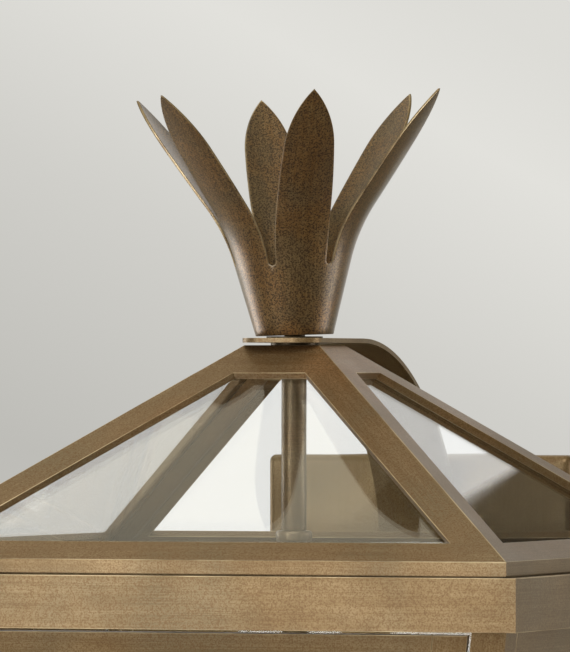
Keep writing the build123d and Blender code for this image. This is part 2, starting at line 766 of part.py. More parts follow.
# Candle cluster: hub, bent arms, drip pans, holders, sleeves and bulbs
hub_mid_z = hub_low_z + arm_drop
hub_half = Polyline((0, hub_low_z), (hub_neck_r, hub_low_z), (hub_r, hub_low_z + hub_h / 4),
                    (hub_r, hub_top_z - hub_h / 4), (hub_neck_r, hub_top_z), (0, hub_top_z), close=True)
hub_bore = Pos(0, 0, hub_mid_z) * Cylinder(rod_r + rod_gap, 2 * hub_h)
write("cluster_hub", (revolve(Plane.XZ * make_face(hub_half), Axis.Z) - hub_bore).solid())
nut_body = Pos(0, 0, hub_low_z - hub_nut_h / 2) * Cylinder(hub_nut_r, hub_nut_h)
nut_body = fillet(nut_body.edges().group_by(Axis.Z)[0], hub_nut_h / 3)
write("hub_nut", (nut_body - Pos(0, 0, hub_low_z) * Cylinder(rod_r + stud_gap, 4 * hub_nut_h)).solid())

pan_z = hub_mid_z + arm_rise
arm_start = Vector(hub_r, 0, hub_mid_z)
arm_turn = Vector(arm_reach - arm_bend_r, 0, hub_mid_z)
arm_up = Vector(arm_reach, 0, hub_mid_z + arm_bend_r)
level_run = Line(arm_start, arm_turn)
arm_bend = TangentArc(arm_turn, arm_up, tangent=level_run % 1)
arm_path = Wire([level_run, arm_bend, Line(arm_up, (arm_reach, 0, pan_z))])
arm = sweep(Plane(origin=arm_start, z_dir=(1, 0, 0)) * Circle(arm_r), path=arm_path).solid()

pan_line = Polyline((0, 0), (pan_floor_r, 0), (pan_r, pan_depth), (pan_r - pan_t, pan_depth),
                    (pan_floor_r - pan_t / 2, pan_t), (0, pan_t), close=True)
drip_pan = Pos(arm_reach, 0, pan_z) * revolve(Plane.XZ * make_face(pan_line), Axis.Z)
sleeve_low_z = pan_z + pan_t
sleeve_top_z = sleeve_low_z + sleeve_len
holder_top_z = sleeve_top_z - holder_below_top
holder_low_z = holder_top_z - holder_len
bore_low_z = holder_top_z - holder_bore_depth
candle = Pos(arm_reach, 0, 0)
sleeve = candle * tube(sleeve_r, sleeve_r - sleeve_t, sleeve_low_z, sleeve_top_z)
holder = candle * tube(holder_r, bulb_base_r + bulb_thread_gap, bore_low_z, holder_top_z)
holder_floor = candle * tube(holder_r, 0, holder_low_z, bore_low_z)
holder_stem = candle * tube(holder_stem_r, 0, sleeve_low_z, holder_low_z)

base_low_z = holder_top_z - bulb_base_len + bulb_tip_h
bulb_base = candle * tube(bulb_base_r, 0, base_low_z, holder_top_z)
base_tip = candle * tube(bulb_tip_r, 0, base_low_z - bulb_tip_h, base_low_z)


def bulb_line(depth):
    """Half outline of a candle bulb, a depth inside the glass: neck, belly and pointed tip."""
    neck = Line((bulb_neck_r - depth, 0), (bulb_neck_r - depth, bulb_neck_h))
    flank = Spline((bulb_neck_r - depth, bulb_neck_h), (bulb_r - depth, bulb_wide_z), (0, bulb_len - depth),
                   tangents=[(0, 1), (-0.45, 1)], tangent_scalars=[1.0, 0.5])
    return neck, flank


glass_outer, glass_inner = bulb_line(0), bulb_line(bulb_wall)
glass_ends = [Line(glass_outer[0] @ 0, glass_inner[0] @ 0), Line(glass_outer[1] @ 1, glass_inner[1] @ 1)]
glass_face = make_face(Wire(list(glass_outer) + list(glass_inner) + glass_ends))
bulb_glass = Pos(arm_reach, 0, holder_top_z) * revolve(Plane.XZ * glass_face, Axis.Z)

candle_turns = [candle_first_deg + 360 / candles * i for i in range(candles)]


def at_candles(solid):
    """Copies of one candle's piece, one for each arm."""
    return [Rot(0, 0, turn) * solid for turn in candle_turns]


write("cluster_arms", *at_candles(arm))
write("drip_pans", *at_candles(drip_pan.solid()))
write("candle_sleeves", *at_candles(sleeve))
write("lampholders", *at_candles(fuse(holder, holder_floor)))
write("lampholder_stems", *at_candles(holder_stem))
for number, turn in enumerate(candle_turns, 1):
    write(f"bulb_base_{number}", Rot(0, 0, turn) * fuse(bulb_base, base_tip))
    write(f"bulb_glass_{number}", Rot(0, 0, turn) * bulb_glass.solid())

# Wall plate: a deep pan with rounded front edges
WALL = Pos(0, 0, 0)
plate_front_y = -plate_depth
plate = Pos(0, -plate_depth / 2, 0) * Box(plate_w, plate_depth, plate_h)
plate = fillet(plate.edges().filter_by(Axis.Y), plate_corner_r)
plate = fillet(plate.faces().sort_by(Axis.Y)[0].edges(), plate_edge_r)
plate = offset(plate, amount=-plate_sheet, openings=plate.faces().sort_by(Axis.Y)[-1])
stud_xs = (-stud_pitch / 2, stud_pitch / 2)
for x in stud_xs:
    plate = plate - y_cylinder(stud_r + strap_screw_gap, 2 * plate_front_y, 0, x=x)
for z in screw_zs:
    plate = plate - y_cylinder(strap_screw_r + strap_screw_gap, 2 * plate_front_y, 0, z=z + apex_z)
plate = plate - y_cylinder(bushing_r, 2 * plate_front_y, 0, z=bushing_z)
write("wall_plate", plate.solid(), place=WALL)

bar = Pos(0, -bar_t / 2, 0) * Box(bar_len, bar_t, bar_h)
bar = fillet(bar.edges().filter_by(Axis.Y), bar_corner_r)
slot_sketch = Plane.XZ * SlotOverall(box_slot_len, 2 * box_slot_r)
slot = extrude(slot_sketch, bar_t * 2, both=True)
for hand in (-1, 1):
    bar = bar - Pos(hand * box_screw_pitch / 2, 0, 0) * slot
    bar = bar - y_cylinder(stud_r + stud_gap, -2 * bar_t, bar_t, x=hand * stud_pitch / 2)
bar = bar - y_cylinder(bar_centre_hole_r, -2 * bar_t, bar_t)
bar = bar - y_cylinder(ground_screw_r + stud_gap, -2 * bar_t, bar_t, x=ground_screw_x)
write("mounting_bar", bar.solid(), place=WALL)

ground_head = y_cylinder(ground_head_r, -bar_t - ground_head_h, -bar_t, x=ground_screw_x)
ground_shank = y_cylinder(ground_screw_r, -bar_t, 0, x=ground_screw_x)
write("ground_screw", fuse(ground_head, ground_shank), place=WALL)

washer_front_y = plate_front_y - cap_washer_t
studs = [y_cylinder(stud_r, washer_front_y - stud_out, 0, x=x) for x in stud_xs]
write("fixture_studs", *studs, place=WALL)
stud_bores = [y_cylinder(stud_r + stud_gap, 2 * washer_front_y, 0, x=x) for x in stud_xs]
stud_nuts = [y_hexagon(stud_nut_af, -bar_t - stud_nut_t, -bar_t, x, 0) for x in stud_xs]
write("stud_nuts", *[(nut - bore).solid() for nut, bore in zip(stud_nuts, stud_bores)], place=WALL)
write("strap_nuts", *nuts)
washers = [y_cylinder(cap_washer_r, washer_front_y, plate_front_y, x=x) for x in stud_xs]
write("cap_washers", *[(ring - bore).solid() for ring, bore in zip(washers, stud_bores)], place=WALL)


def cap_nut(x):
    """Domed nut with finger grooves that closes over a stud's end."""
    tip_y = washer_front_y - cap_nut_h
    body_nut = y_cylinder(cap_nut_r, tip_y, washer_front_y, x=x)
    body_nut = fillet(body_nut.edges().group_by(Axis.Y)[0], cap_nut_dome)
    body_nut = body_nut - y_cylinder(stud_r + stud_gap, washer_front_y - cap_nut_bore, washer_front_y, x=x)
    for i in range(cap_nut_grooves):
        angle = 2 * math.pi * i / cap_nut_grooves
        rim_x, rim_up = cap_nut_r * math.cos(angle), cap_nut_r * math.sin(angle)
        groove_end_y = washer_front_y - cap_washer_t
        groove = y_cylinder(cap_nut_groove_r, tip_y + cap_nut_dome, groove_end_y, x + rim_x, rim_up)
        body_nut = body_nut - groove
    return body_nut.solid()


write("cap_nut_left", cap_nut(stud_xs[0]), place=WALL)
write("cap_nut_right", cap_nut(stud_xs[1]), place=WALL)

sheet_back = plate_front_y + plate_sheet
ring_parts = [y_cylinder(bushing_flange_r, plate_front_y - bushing_flange_t, plate_front_y, z=bushing_z),
              y_cylinder(bushing_r, plate_front_y, sheet_back, z=bushing_z),
              y_cylinder(bushing_flange_r, sheet_back, sheet_back + bushing_flange_t, z=bushing_z)]
bushing = fuse(*ring_parts) - y_cylinder(bushing_bore_r, 2 * plate_front_y, 0, z=bushing_z)
write("wire_bushing", bushing.solid(), place=WALL)
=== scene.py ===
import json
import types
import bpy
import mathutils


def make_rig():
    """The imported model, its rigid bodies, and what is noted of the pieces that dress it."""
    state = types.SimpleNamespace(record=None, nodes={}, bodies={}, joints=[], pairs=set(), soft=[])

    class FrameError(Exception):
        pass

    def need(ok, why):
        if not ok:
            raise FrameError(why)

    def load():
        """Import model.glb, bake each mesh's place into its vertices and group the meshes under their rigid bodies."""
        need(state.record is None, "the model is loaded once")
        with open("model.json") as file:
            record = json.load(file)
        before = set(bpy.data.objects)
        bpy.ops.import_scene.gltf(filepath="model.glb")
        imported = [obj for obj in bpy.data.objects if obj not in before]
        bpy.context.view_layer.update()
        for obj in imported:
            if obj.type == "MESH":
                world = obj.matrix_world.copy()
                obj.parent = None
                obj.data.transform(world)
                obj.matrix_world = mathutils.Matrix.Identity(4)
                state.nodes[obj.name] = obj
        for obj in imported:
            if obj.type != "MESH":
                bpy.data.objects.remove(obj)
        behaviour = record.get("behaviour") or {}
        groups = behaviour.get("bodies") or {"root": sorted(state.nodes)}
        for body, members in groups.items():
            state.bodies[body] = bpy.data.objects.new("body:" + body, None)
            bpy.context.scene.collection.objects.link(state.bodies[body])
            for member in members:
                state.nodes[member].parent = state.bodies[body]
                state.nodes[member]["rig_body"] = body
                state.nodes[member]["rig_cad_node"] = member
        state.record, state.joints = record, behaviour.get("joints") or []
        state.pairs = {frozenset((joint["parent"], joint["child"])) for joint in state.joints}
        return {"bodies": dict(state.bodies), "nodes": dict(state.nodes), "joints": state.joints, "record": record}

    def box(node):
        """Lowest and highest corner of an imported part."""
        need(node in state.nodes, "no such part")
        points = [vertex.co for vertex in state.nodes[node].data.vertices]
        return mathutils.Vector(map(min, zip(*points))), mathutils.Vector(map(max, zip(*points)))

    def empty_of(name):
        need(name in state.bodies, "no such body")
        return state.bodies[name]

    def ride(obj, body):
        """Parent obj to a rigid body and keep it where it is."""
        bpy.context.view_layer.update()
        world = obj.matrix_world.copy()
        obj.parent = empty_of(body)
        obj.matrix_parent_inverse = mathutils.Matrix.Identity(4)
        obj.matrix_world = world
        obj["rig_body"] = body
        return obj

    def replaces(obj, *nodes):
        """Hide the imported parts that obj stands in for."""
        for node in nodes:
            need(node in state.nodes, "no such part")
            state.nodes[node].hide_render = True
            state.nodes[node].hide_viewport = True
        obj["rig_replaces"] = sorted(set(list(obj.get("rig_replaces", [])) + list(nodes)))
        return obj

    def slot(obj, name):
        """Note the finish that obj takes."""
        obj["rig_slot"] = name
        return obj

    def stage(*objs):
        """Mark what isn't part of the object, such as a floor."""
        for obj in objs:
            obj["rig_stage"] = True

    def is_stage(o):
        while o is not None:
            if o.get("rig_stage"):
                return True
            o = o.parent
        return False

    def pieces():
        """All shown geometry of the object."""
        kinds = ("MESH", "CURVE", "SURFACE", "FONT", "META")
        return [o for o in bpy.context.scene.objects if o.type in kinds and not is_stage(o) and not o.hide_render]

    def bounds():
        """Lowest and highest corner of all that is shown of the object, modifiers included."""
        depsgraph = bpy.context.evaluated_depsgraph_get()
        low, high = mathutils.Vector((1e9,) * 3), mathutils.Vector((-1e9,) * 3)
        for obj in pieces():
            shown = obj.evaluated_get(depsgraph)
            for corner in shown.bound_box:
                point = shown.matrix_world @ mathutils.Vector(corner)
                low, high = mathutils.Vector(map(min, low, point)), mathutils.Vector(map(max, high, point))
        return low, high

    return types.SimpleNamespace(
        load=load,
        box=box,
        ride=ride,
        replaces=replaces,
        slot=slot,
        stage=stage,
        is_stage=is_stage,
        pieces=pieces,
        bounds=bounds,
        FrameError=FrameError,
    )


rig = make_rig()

bl_info = {
    "name": "Wall lantern",
    "version": (1, 0, 0),
    "blender": (4, 5, 0),
    "location": "View3D > Sidebar > Lantern",
    "description": "Finishes the pieces of an outdoor wall lantern in burnished bronze, brass and glass",
    "category": "Object",
}

import json
import math

import bmesh
import bpy
import numpy as np
from bpy.props import FloatProperty, FloatVectorProperty, IntProperty, PointerProperty
from mathutils import Matrix, Vector
from mathutils.bvhtree import BVHTree
from mathutils.geometry import intersect_point_line

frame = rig.load()
cad_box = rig.bounds()

MM = 0.001
# How near two corners, or a corner and an edge or face, lie when they are the same place.
SAME_CORNER = 0.001 * MM
WELD = 0.002 * MM
ON_EDGE = 0.01 * MM
ON_FACE = 0.02 * MM
# A strip, rail or pane has no more triangles than this. A solid with more is round or pressed.
STRIP_TRIANGLES = 60
# Metres between the grain of one solid or copy and the next, so that no two show the same brush lines.
SOLID_SHIFT = Vector((0.37, 0.11, 0.23))
COPY_SHIFT = (0.31, 0.17, 0.53)
SLOTS = {part["node"]: part["material_slot"] for part in frame["record"]["subparts"]}
BODY_OF = {node: body for body, nodes in frame["record"]["behaviour"]["bodies"].items() for node in nodes}

# Places on the lantern, from the frame. The axis runs down through the crown and the lamp rod.
washer_low, washer_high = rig.box("crown_washer")
axis_y = (washer_low.y + washer_high.y) / 2
crown_z = washer_high.z


def linear(hex_colour, alpha=None):
    """Linear colour of an sRGB hex value, with an alpha where one is given."""
    values = [int(hex_colour[i:i + 2], 16) / 255 for i in (1, 3, 5)]
    values = [v / 12.92 if v <= 0.04045 else ((v + 0.055) / 1.055) ** 2.4 for v in values]
    return values if alpha is None else values + [alpha]


def length(name, description, millimetres):
    """A size that a user can change."""
    return FloatProperty(name=name, description=description, default=millimetres * MM, unit="LENGTH",
                         precision=4)


def colour(name, description, hex_colour):
    """A colour that a user can change."""
    return FloatVectorProperty(name=name, description=description, default=linear(hex_colour),
                               subtype="COLOR", size=3, min=0.0, max=1.0)


class LanternSizes(bpy.types.PropertyGroup):
    edge_round: length("Edge rounding", "How far the edges of strips and rails are rounded", 0.32)
    thin_edge_round: length("Thin edge rounding", "Rounding on washers, tabs and other small pieces", 0.15)
    base_r: length("Crown base radius", "Outer radius of the crown where it stands on its washer", 17.9)
    root_r: length("Crown root radius", "Outer radius of the crown where its leaves part", 27.1)
    root_z: length("Crown root height", "Height of the place where the leaves part", 34.0)
    bend_r: length("Leaf bend radius", "Radius of the bend that turns the leaves outwards", 82.6)
    bend: FloatProperty(name="Leaf bend", description="How far the leaves turn outwards",
                        default=math.radians(19.9), subtype="ANGLE")
    lean: FloatProperty(name="Crown lean", description="How far the crown leans to the left",
                        default=math.radians(1.6), subtype="ANGLE")
    nod: FloatProperty(name="Crown nod", description="How far the crown leans forwards",
                       default=math.radians(0.7), subtype="ANGLE")
    turn: FloatProperty(name="Crown turn", description="How far the crown is turned about its axis",
                        default=math.radians(-1.4), subtype="ANGLE")
    tip_z: length("Leaf tip height", "Height of the leaf tips above the base", 110.8)
    sheet: length("Crown sheet", "Thickness of the crown's sheet", 1.2)
    slot_r: length("Slot radius", "Radius of the round slot between two leaves", 1.95)
    wide_half: length("Leaf half-width", "Half-width of a leaf at its widest", 12.7)
    wide_z: length("Leaf wide height", "Height at which a leaf is widest", 65.0)
    shoulder_half: length("Shoulder half-width", "Half-width of a leaf where its point starts", 11.6)
    shoulder_z: length("Shoulder height", "Height at which a leaf's point starts", 86.0)
    leaves: IntProperty(name="Leaves", description="Number of leaves on the crown", default=6, min=3)
    candles: IntProperty(name="Candles", description="Number of candle lamps", default=4, min=1)


class LanternColours(bpy.types.PropertyGroup):
    bronze_dark: colour("Bronze, dark", "Burnished bronze in its dark patches", "#664c2c")
    bronze_mid: colour("Bronze", "Burnished bronze, most of the surface", "#7c6542")
    # Warm roof bronze. Its extra warmth near the crown is painted bounce light, laid on by the roof finish.
    roof_mid: colour("Roof bronze", "Warmer bronze of the roof's strips near the crown", "#875f34")
    bronze_light: colour("Bronze, light", "Burnished bronze where it is rubbed bright", "#a08c6b")
    bronze_olive: colour("Bronze, olive", "Greenish grey film on the bronze", "#5f5640")
    crown_dark: colour("Crown, dark", "Crown's bronze in its dark specks", "#33210d")
    crown_mid: colour("Crown", "Crown's bronze, most of the surface", "#7a5524")
    crown_light: colour("Crown, light", "Crown's bronze where it is rubbed bright", "#a08a62")
    crown_olive: colour("Crown, olive", "Greenish film on the crown", "#5c5138")
    crown_cut: colour("Crown, cut edge", "Bright metal on the crown's leaf edges", "#a3906c")
    bronze_cut: colour("Bronze, cut edge", "Bright metal on worn and cut edges", "#c9b692")
    brass_dark: colour("Aged brass, dark", "Turned brass in its dark rings", "#4d3d28")
    brass_light: colour("Aged brass, light", "Turned brass where it is polished", "#7a6644")
    zinc: colour("Zinc plate", "Plated steel of the bar, the studs and their nuts", "#b4b6b2")
    glass: colour("Pane glass", "Faint green of clear window glass", "#fcfdfb")
    candle: colour("Candle sleeve", "Ivory card of the candle sleeves", "#e8dfc6")
    phenolic: colour("Phenolic", "Black moulding of the lamp holders", "#1b1917")
    rubber: colour("Rubber", "Black rubber of the wire bushing", "#141414")
    tungsten: colour("Tungsten", "Grey wire of the lamp filaments", "#8b8985")


class LanternStage(bpy.types.PropertyGroup):
    distance: FloatProperty(name="Camera distance", description="From the lantern's axis to the camera",
                            default=4.0, unit="LENGTH")
    azimuth: FloatProperty(name="Camera azimuth", description="How far the camera stands to the right",
                           default=math.radians(19.15), subtype="ANGLE")
    pitch: FloatProperty(name="Camera pitch", description="How far the camera looks up",
                         default=math.radians(0.34), subtype="ANGLE")
    lens: FloatProperty(name="Lens", description="Focal length in millimetres on a 36 mm sensor",
                        default=548.7)
    aim_drop: length("Camera height", "Camera's height below the roof's flat top", 14.85)
    floor_drop: FloatProperty(name="Floor drop", description="How far the floor lies below the origin",
                              default=0.75, unit="LENGTH")
    floor: colour("Floor", "Warm grey matt floor", "#b5a78f")


def settings():
    """The property groups of the scene that is being dressed."""
    scene = bpy.context.scene
    return scene.lantern_sizes, scene.lantern_colours, scene.lantern_stage


def add_node(tree, kind, links=None, **values):
    """Add a node, set its properties, and fill its inputs with numbers or with other nodes' sockets."""
    node = tree.nodes.new(kind)
    for name, value in values.items():
        setattr(node, name, value)
    for name, value in (links or {}).items():
        socket = node.inputs[name]
        if isinstance(value, bpy.types.NodeSocket):
            tree.links.new(value, socket)
        else:
            socket.default_value = value
    return node


# Materials


def new_material(name):
    """Empty material and its tree."""
    material = bpy.data.materials.new(name)
    material.use_nodes = True
    material.node_tree.nodes.clear()
    return material, material.node_tree


def pattern(tree, source, scale, detail, roughness):
    """Noise over a vector that is first stretched along each of its axes."""
    stretched = add_node(tree, "ShaderNodeVectorMath", {0: source, 1: scale}, operation="MULTIPLY")
    noise = add_node(tree, "ShaderNodeTexNoise", {"Vector": stretched.outputs["Vector"], "Scale": 1.0,
                                                  "Detail": detail, "Roughness": roughness})
    return noise.outputs["Fac"]


def laid_over(tree, base, upper, pattern_value, low=0.0, high=1.0, least=0.0, most=1.0):
    """A base with a colour laid over it, from its least to its most as a pattern rises from low to high."""
    share = add_node(tree, "ShaderNodeMapRange", {"Value": pattern_value, "From Min": low, "From Max": high,
                                                  "To Min": least, "To Max": most})
    first, second = [c if isinstance(c, bpy.types.NodeSocket) else (*c, 1.0) for c in (base, upper)]
    mixed = add_node(tree, "ShaderNodeMix", {0: share.outputs["Result"], 6: first, 7: second},
                     data_type="RGBA")
    return mixed.outputs[2]


def burnished_bronze(name, dark, mid, light, olive, cut, brush_mm=(60.0, 0.35), patch_mm=34.0,
                     roughness=0.38, speckle=0.8, metallic=0.55, far_film=0.0, lacquer=0.0):
    """Brass sheet with a rubbed bronze finish: fine brush lines, soft patches and bright worn edges.

    The patina hides part of the metal, so its metallic value is well below one.
    """
    # The brush lines and the grit left by rubbing are about 0.1 mm wide. Both are drawn coarser, so that
    # they show.
    grit_mm = 0.75
    dent = 0.05 * MM
    # Distances from the crown over which the roof turns from warm to olive. The warmth near the crown is painted
    # bounce light from the crown and strap.
    bounce_fade_start, bounce_fade_end = 30 * MM, 130 * MM
    material, tree = new_material(name)
    grain = add_node(tree, "ShaderNodeAttribute", attribute_name="grain").outputs["Vector"]
    edge = add_node(tree, "ShaderNodeAttribute", attribute_name="edge").outputs["Fac"]
    place = add_node(tree, "ShaderNodeTexCoord").outputs["Object"]
    along, across = [1 / (size * MM) for size in brush_mm]
    per_patch = 1 / (patch_mm * MM)
    lines = pattern(tree, grain, (along, across, across), 4.0, 0.6)
    streaks = pattern(tree, grain, (along * 1.5, across / 9, across / 9), 3.0, 0.5)
    patches = pattern(tree, place, (per_patch,) * 3, 4.0, 0.55)
    film = pattern(tree, place, (per_patch * 0.6,) * 3, 3.0, 0.5)
    grit = pattern(tree, place, (1 / (grit_mm * MM),) * 3, 1.5, 0.7)
    rubbed = add_node(tree, "ShaderNodeMath", {0: streaks, 1: patches}, operation="ADD").outputs[0]
    base = laid_over(tree, dark, mid, rubbed, 0.5, 1.0, 0.2, 1.0)
    base = laid_over(tree, base, light, rubbed, 0.95, 1.55, 0.0, 0.5)
    base = laid_over(tree, base, olive, film, 0.42, 0.62, 0.0, 0.6)
    outwards = add_node(tree, "ShaderNodeVectorMath", {0: place, 1: (0.0, axis_y, crown_z)},
                        operation="DISTANCE").outputs["Value"]
    # Painted bounce light: the roof stays warm near the crown and strap, and olive comes in further out.
    base = laid_over(tree, base, olive, outwards, bounce_fade_start, bounce_fade_end, 0.0, far_film)
    base = laid_over(tree, base, light, lines, 0.4, 0.7, 0.0, 0.4)
    base = laid_over(tree, base, dark, grit, 0.42, 0.62, 0.0, speckle)
    wear = add_node(tree, "ShaderNodeMapRange", {"Value": patches, "From Min": 0.35, "From Max": 0.6,
                                                 "To Min": 0.15, "To Max": 0.75}).outputs["Result"]
    worn = add_node(tree, "ShaderNodeMath", {0: edge, 1: wear}, operation="MULTIPLY").outputs[0]
    base = laid_over(tree, base, cut, worn)
    height = add_node(tree, "ShaderNodeMath", {0: lines, 1: grit}, operation="ADD").outputs[0]
    dents = add_node(tree, "ShaderNodeBump", {"Height": height, "Strength": speckle, "Distance": dent})
    rough = add_node(tree, "ShaderNodeMapRange", {"Value": patches, "From Min": 0.3, "From Max": 0.7,
                                                  "To Min": roughness + 0.03, "To Max": roughness - 0.03})
    shader = add_node(tree, "ShaderNodeBsdfPrincipled", {
        "Base Color": base, "Metallic": metallic, "Roughness": rough.outputs["Result"],
        "Coat Weight": lacquer, "Coat Roughness": 0.3, "Normal": dents.outputs["Normal"]})
    add_node(tree, "ShaderNodeOutputMaterial", {"Surface": shader.outputs["BSDF"]})
    return material


def soda_glass(name, tint=(1.0, 1.0, 1.0), ior=1.5):
    """Soda-lime glass: clear and smooth. It lets light through to the pieces behind it."""
    material, tree = new_material(name)
    shader = add_node(tree, "ShaderNodeBsdfPrincipled", {"Base Color": (*tint, 1.0), "Roughness": 0.0,
                                                         "IOR": ior, "Transmission Weight": 1.0})
    clear = add_node(tree, "ShaderNodeBsdfTransparent", {"Color": (*tint, 1.0)})
    shadow = add_node(tree, "ShaderNodeLightPath").outputs["Is Shadow Ray"]
    mixed = add_node(tree, "ShaderNodeMixShader", {0: shadow, 1: shader.outputs["BSDF"],
                                                   2: clear.outputs["BSDF"]})
    add_node(tree, "ShaderNodeOutputMaterial", {"Surface": mixed.outputs["Shader"]})
    return material


def plain_finish(name, base, metallic, roughness, speck_mm, contrast, bump=0.1):
    """Even finish with fine specks in its colour and surface, for plated, moulded and card pieces."""
    material, tree = new_material(name)
    place = add_node(tree, "ShaderNodeTexCoord").outputs["Object"]
    specks = pattern(tree, place, (1 / (speck_mm * MM),) * 3, 3.0, 0.6)
    darker = [value * (1 - contrast) for value in base]
    tone = laid_over(tree, darker, base, specks, 0.35, 0.65)
    dents = add_node(tree, "ShaderNodeBump", {"Height": specks, "Strength": bump, "Distance": 0.03 * MM})
    rough = add_node(tree, "ShaderNodeMapRange", {"Value": specks, "From Min": 0.3, "From Max": 0.7,
                                                  "To Min": roughness + 0.05, "To Max": roughness - 0.05})
    shader = add_node(tree, "ShaderNodeBsdfPrincipled", {
        "Base Color": tone, "Metallic": metallic, "Roughness": rough.outputs["Result"],
        "Normal": dents.outputs["Normal"]})
    add_node(tree, "ShaderNodeOutputMaterial", {"Surface": shader.outputs["BSDF"]})
    return material


# Each finish: the function that makes it, the colours it takes, and its surface.
FINISHES = {
    # Brass strip, brushed lengthwise and rubbed with a brown patina: satin, streaked along the strip.
    "burnished_bronze": (burnished_bronze, (
        "bronze_dark", "bronze_mid", "bronze_light", "bronze_olive", "bronze_cut"), {}),
    # The same patina on the roof, warmer near the crown as painted bounce light from the crown and strap, and greener
    # towards the eaves.
    "roof_bronze": (burnished_bronze, (
        "bronze_dark", "roof_mid", "bronze_light", "bronze_olive", "bronze_cut"), {
            "speckle": 1.0, "far_film": 0.6}),
    # Spun brass sheet, darker and more specked, under a clear lacquer that gives it a soft sheen.
    "crown_bronze": (burnished_bronze, (
        "crown_dark", "crown_mid", "crown_light", "crown_olive", "crown_cut"), {
            "brush_mm": (45.0, 0.3), "patch_mm": 12.0, "roughness": 0.36, "speckle": 1.0,
            "metallic": 0.7, "lacquer": 0.8}),
    # Turned brass left to darken: fine tool rings and small patches of tarnish.
    "aged_brass": (burnished_bronze, (
        "brass_dark", "brass_dark", "brass_light", "bronze_olive", "bronze_cut"), {
            "brush_mm": (40.0, 0.5), "patch_mm": 14.0, "roughness": 0.34}),
    # Zinc electroplate on steel: pale grey with a faint crystal bloom.
    "zinc_plate": (plain_finish, ("zinc",), {
        "metallic": 1.0, "roughness": 0.38, "speck_mm": 2.5, "contrast": 0.25}),
    # Float glass of the panes: its edges and thickness give a trace of green.
    "window_glass": (soda_glass, ("glass",), {}),
    # Blown soda glass of the lamps: thin enough to have no colour.
    "lamp_glass": (soda_glass, (), {}),
    # Pressed card of the candle sleeves: matt ivory with a fibre grain.
    "candle_card": (plain_finish, ("candle",), {
        "metallic": 0.0, "roughness": 0.6, "speck_mm": 1.2, "contrast": 0.06, "bump": 0.2}),
    # Pressed phenolic moulding of the lamp holders: near black with a dull shine.
    "phenolic": (plain_finish, ("phenolic",), {
        "metallic": 0.0, "roughness": 0.35, "speck_mm": 0.8, "contrast": 0.2}),
    # Moulded rubber of the bushing: matt black.
    "rubber": (plain_finish, ("rubber",), {
        "metallic": 0.0, "roughness": 0.7, "speck_mm": 0.6, "contrast": 0.2, "bump": 0.2}),
    # Drawn tungsten wire of the filaments: dull grey.
    "tungsten": (plain_finish, ("tungsten",), {
        "metallic": 1.0, "roughness": 0.4, "speck_mm": 0.5, "contrast": 0.2}),
}


def finish(name):
    """The named finish, made the first time that a piece asks for it."""
    made = bpy.data.materials.get(name)
    if made:
        return made
    make, colours, surface = FINISHES[name]
    return make(name, *[tuple(getattr(settings()[1], colour_name)) for colour_name in colours], **surface)


FINISH_OF_SLOT = {"bronze": "burnished_bronze", "grey_bronze": "crown_bronze", "turned_brass": "aged_brass",
                  "steel": "zinc_plate", "glass": "window_glass", "bulb_glass": "lamp_glass",
                  "candle_white": "candle_card", "holder_plastic": "phenolic", "rubber": "rubber"}


# Meshes


class Stock:
    """Faces gathered for one piece, with the grain direction and the worn edges of each."""

    def __init__(self):
        self.places, self.grains, self.rings, self.worn = [], [], [], []

    def add(self, places, grains, rings, worn):
        first = len(self.places)
        self.places += [tuple(p) for p in places]
        self.grains += [tuple(g) for g in grains]
        self.rings += [[first + i for i in ring] for ring in rings]
        self.worn += worn

    def mesh(self, name):
        mesh = bpy.data.meshes.new(name)
        mesh.from_pydata(self.places, [], self.rings)
        grain = mesh.attributes.new("grain", "FLOAT_VECTOR", "POINT")
        grain.data.foreach_set("vector", np.array(self.grains, float).ravel())
        edge = mesh.attributes.new("edge", "FLOAT", "FACE")
        edge.data.foreach_set("value", self.worn)
        mesh.update()
        return mesh


def solids_of(node):
    """The node's solids, each as its corners and triangles, joined up from the loose triangles."""
    mesh = frame["nodes"][node].data
    known, places, index = {}, [], []
    for vertex in mesh.vertices:
        key = tuple(round(value / SAME_CORNER) for value in vertex.co)
        if key not in known:
            known[key] = len(places)
            places.append(vertex.co.copy())
        index.append(known[key])
    solids, triangles, open_edges = [], [], set()
    for polygon in mesh.polygons:
        ring = [index[i] for i in polygon.vertices]
        if len(set(ring)) < 3:
            continue
        triangles.append(ring)
        for a, b in zip(ring, ring[1:] + ring[:1]):
            if (b, a) in open_edges:
                open_edges.remove((b, a))
            else:
                open_edges.add((a, b))
        if not open_edges:
            solids.append((places, triangles))
            triangles = []
    if triangles:
        raise ValueError(f"{node} has an open edge")
    return solids


def grain_of(places):
    """Axes of a solid: the first runs along it, so that brush lines follow each strip."""
    points = np.array([tuple(p) for p in places])
    spread = np.cov((points - points.mean(0)).T)
    sizes, axes = np.linalg.eigh(spread)
    if sizes[1] > 0.8 * sizes[2]:
        return Matrix.Identity(3)
    rows = axes.T[::-1]
    return Matrix([list(row * (1 if row[np.argmax(abs(row))] > 0 else -1)) for row in rows])


def split_at(bm, corners):
    """Split each edge where a corner of another solid lies on it."""
    for corner in corners:
        for edge in list(bm.edges):
            a, b = (vert.co for vert in edge.verts)
            near, share = intersect_point_line(corner, a, b)
            if 0.01 < share < 0.99 and (near - corner).length < ON_EDGE:
                bmesh.utils.edge_split(edge, edge.verts[0], share)
                break


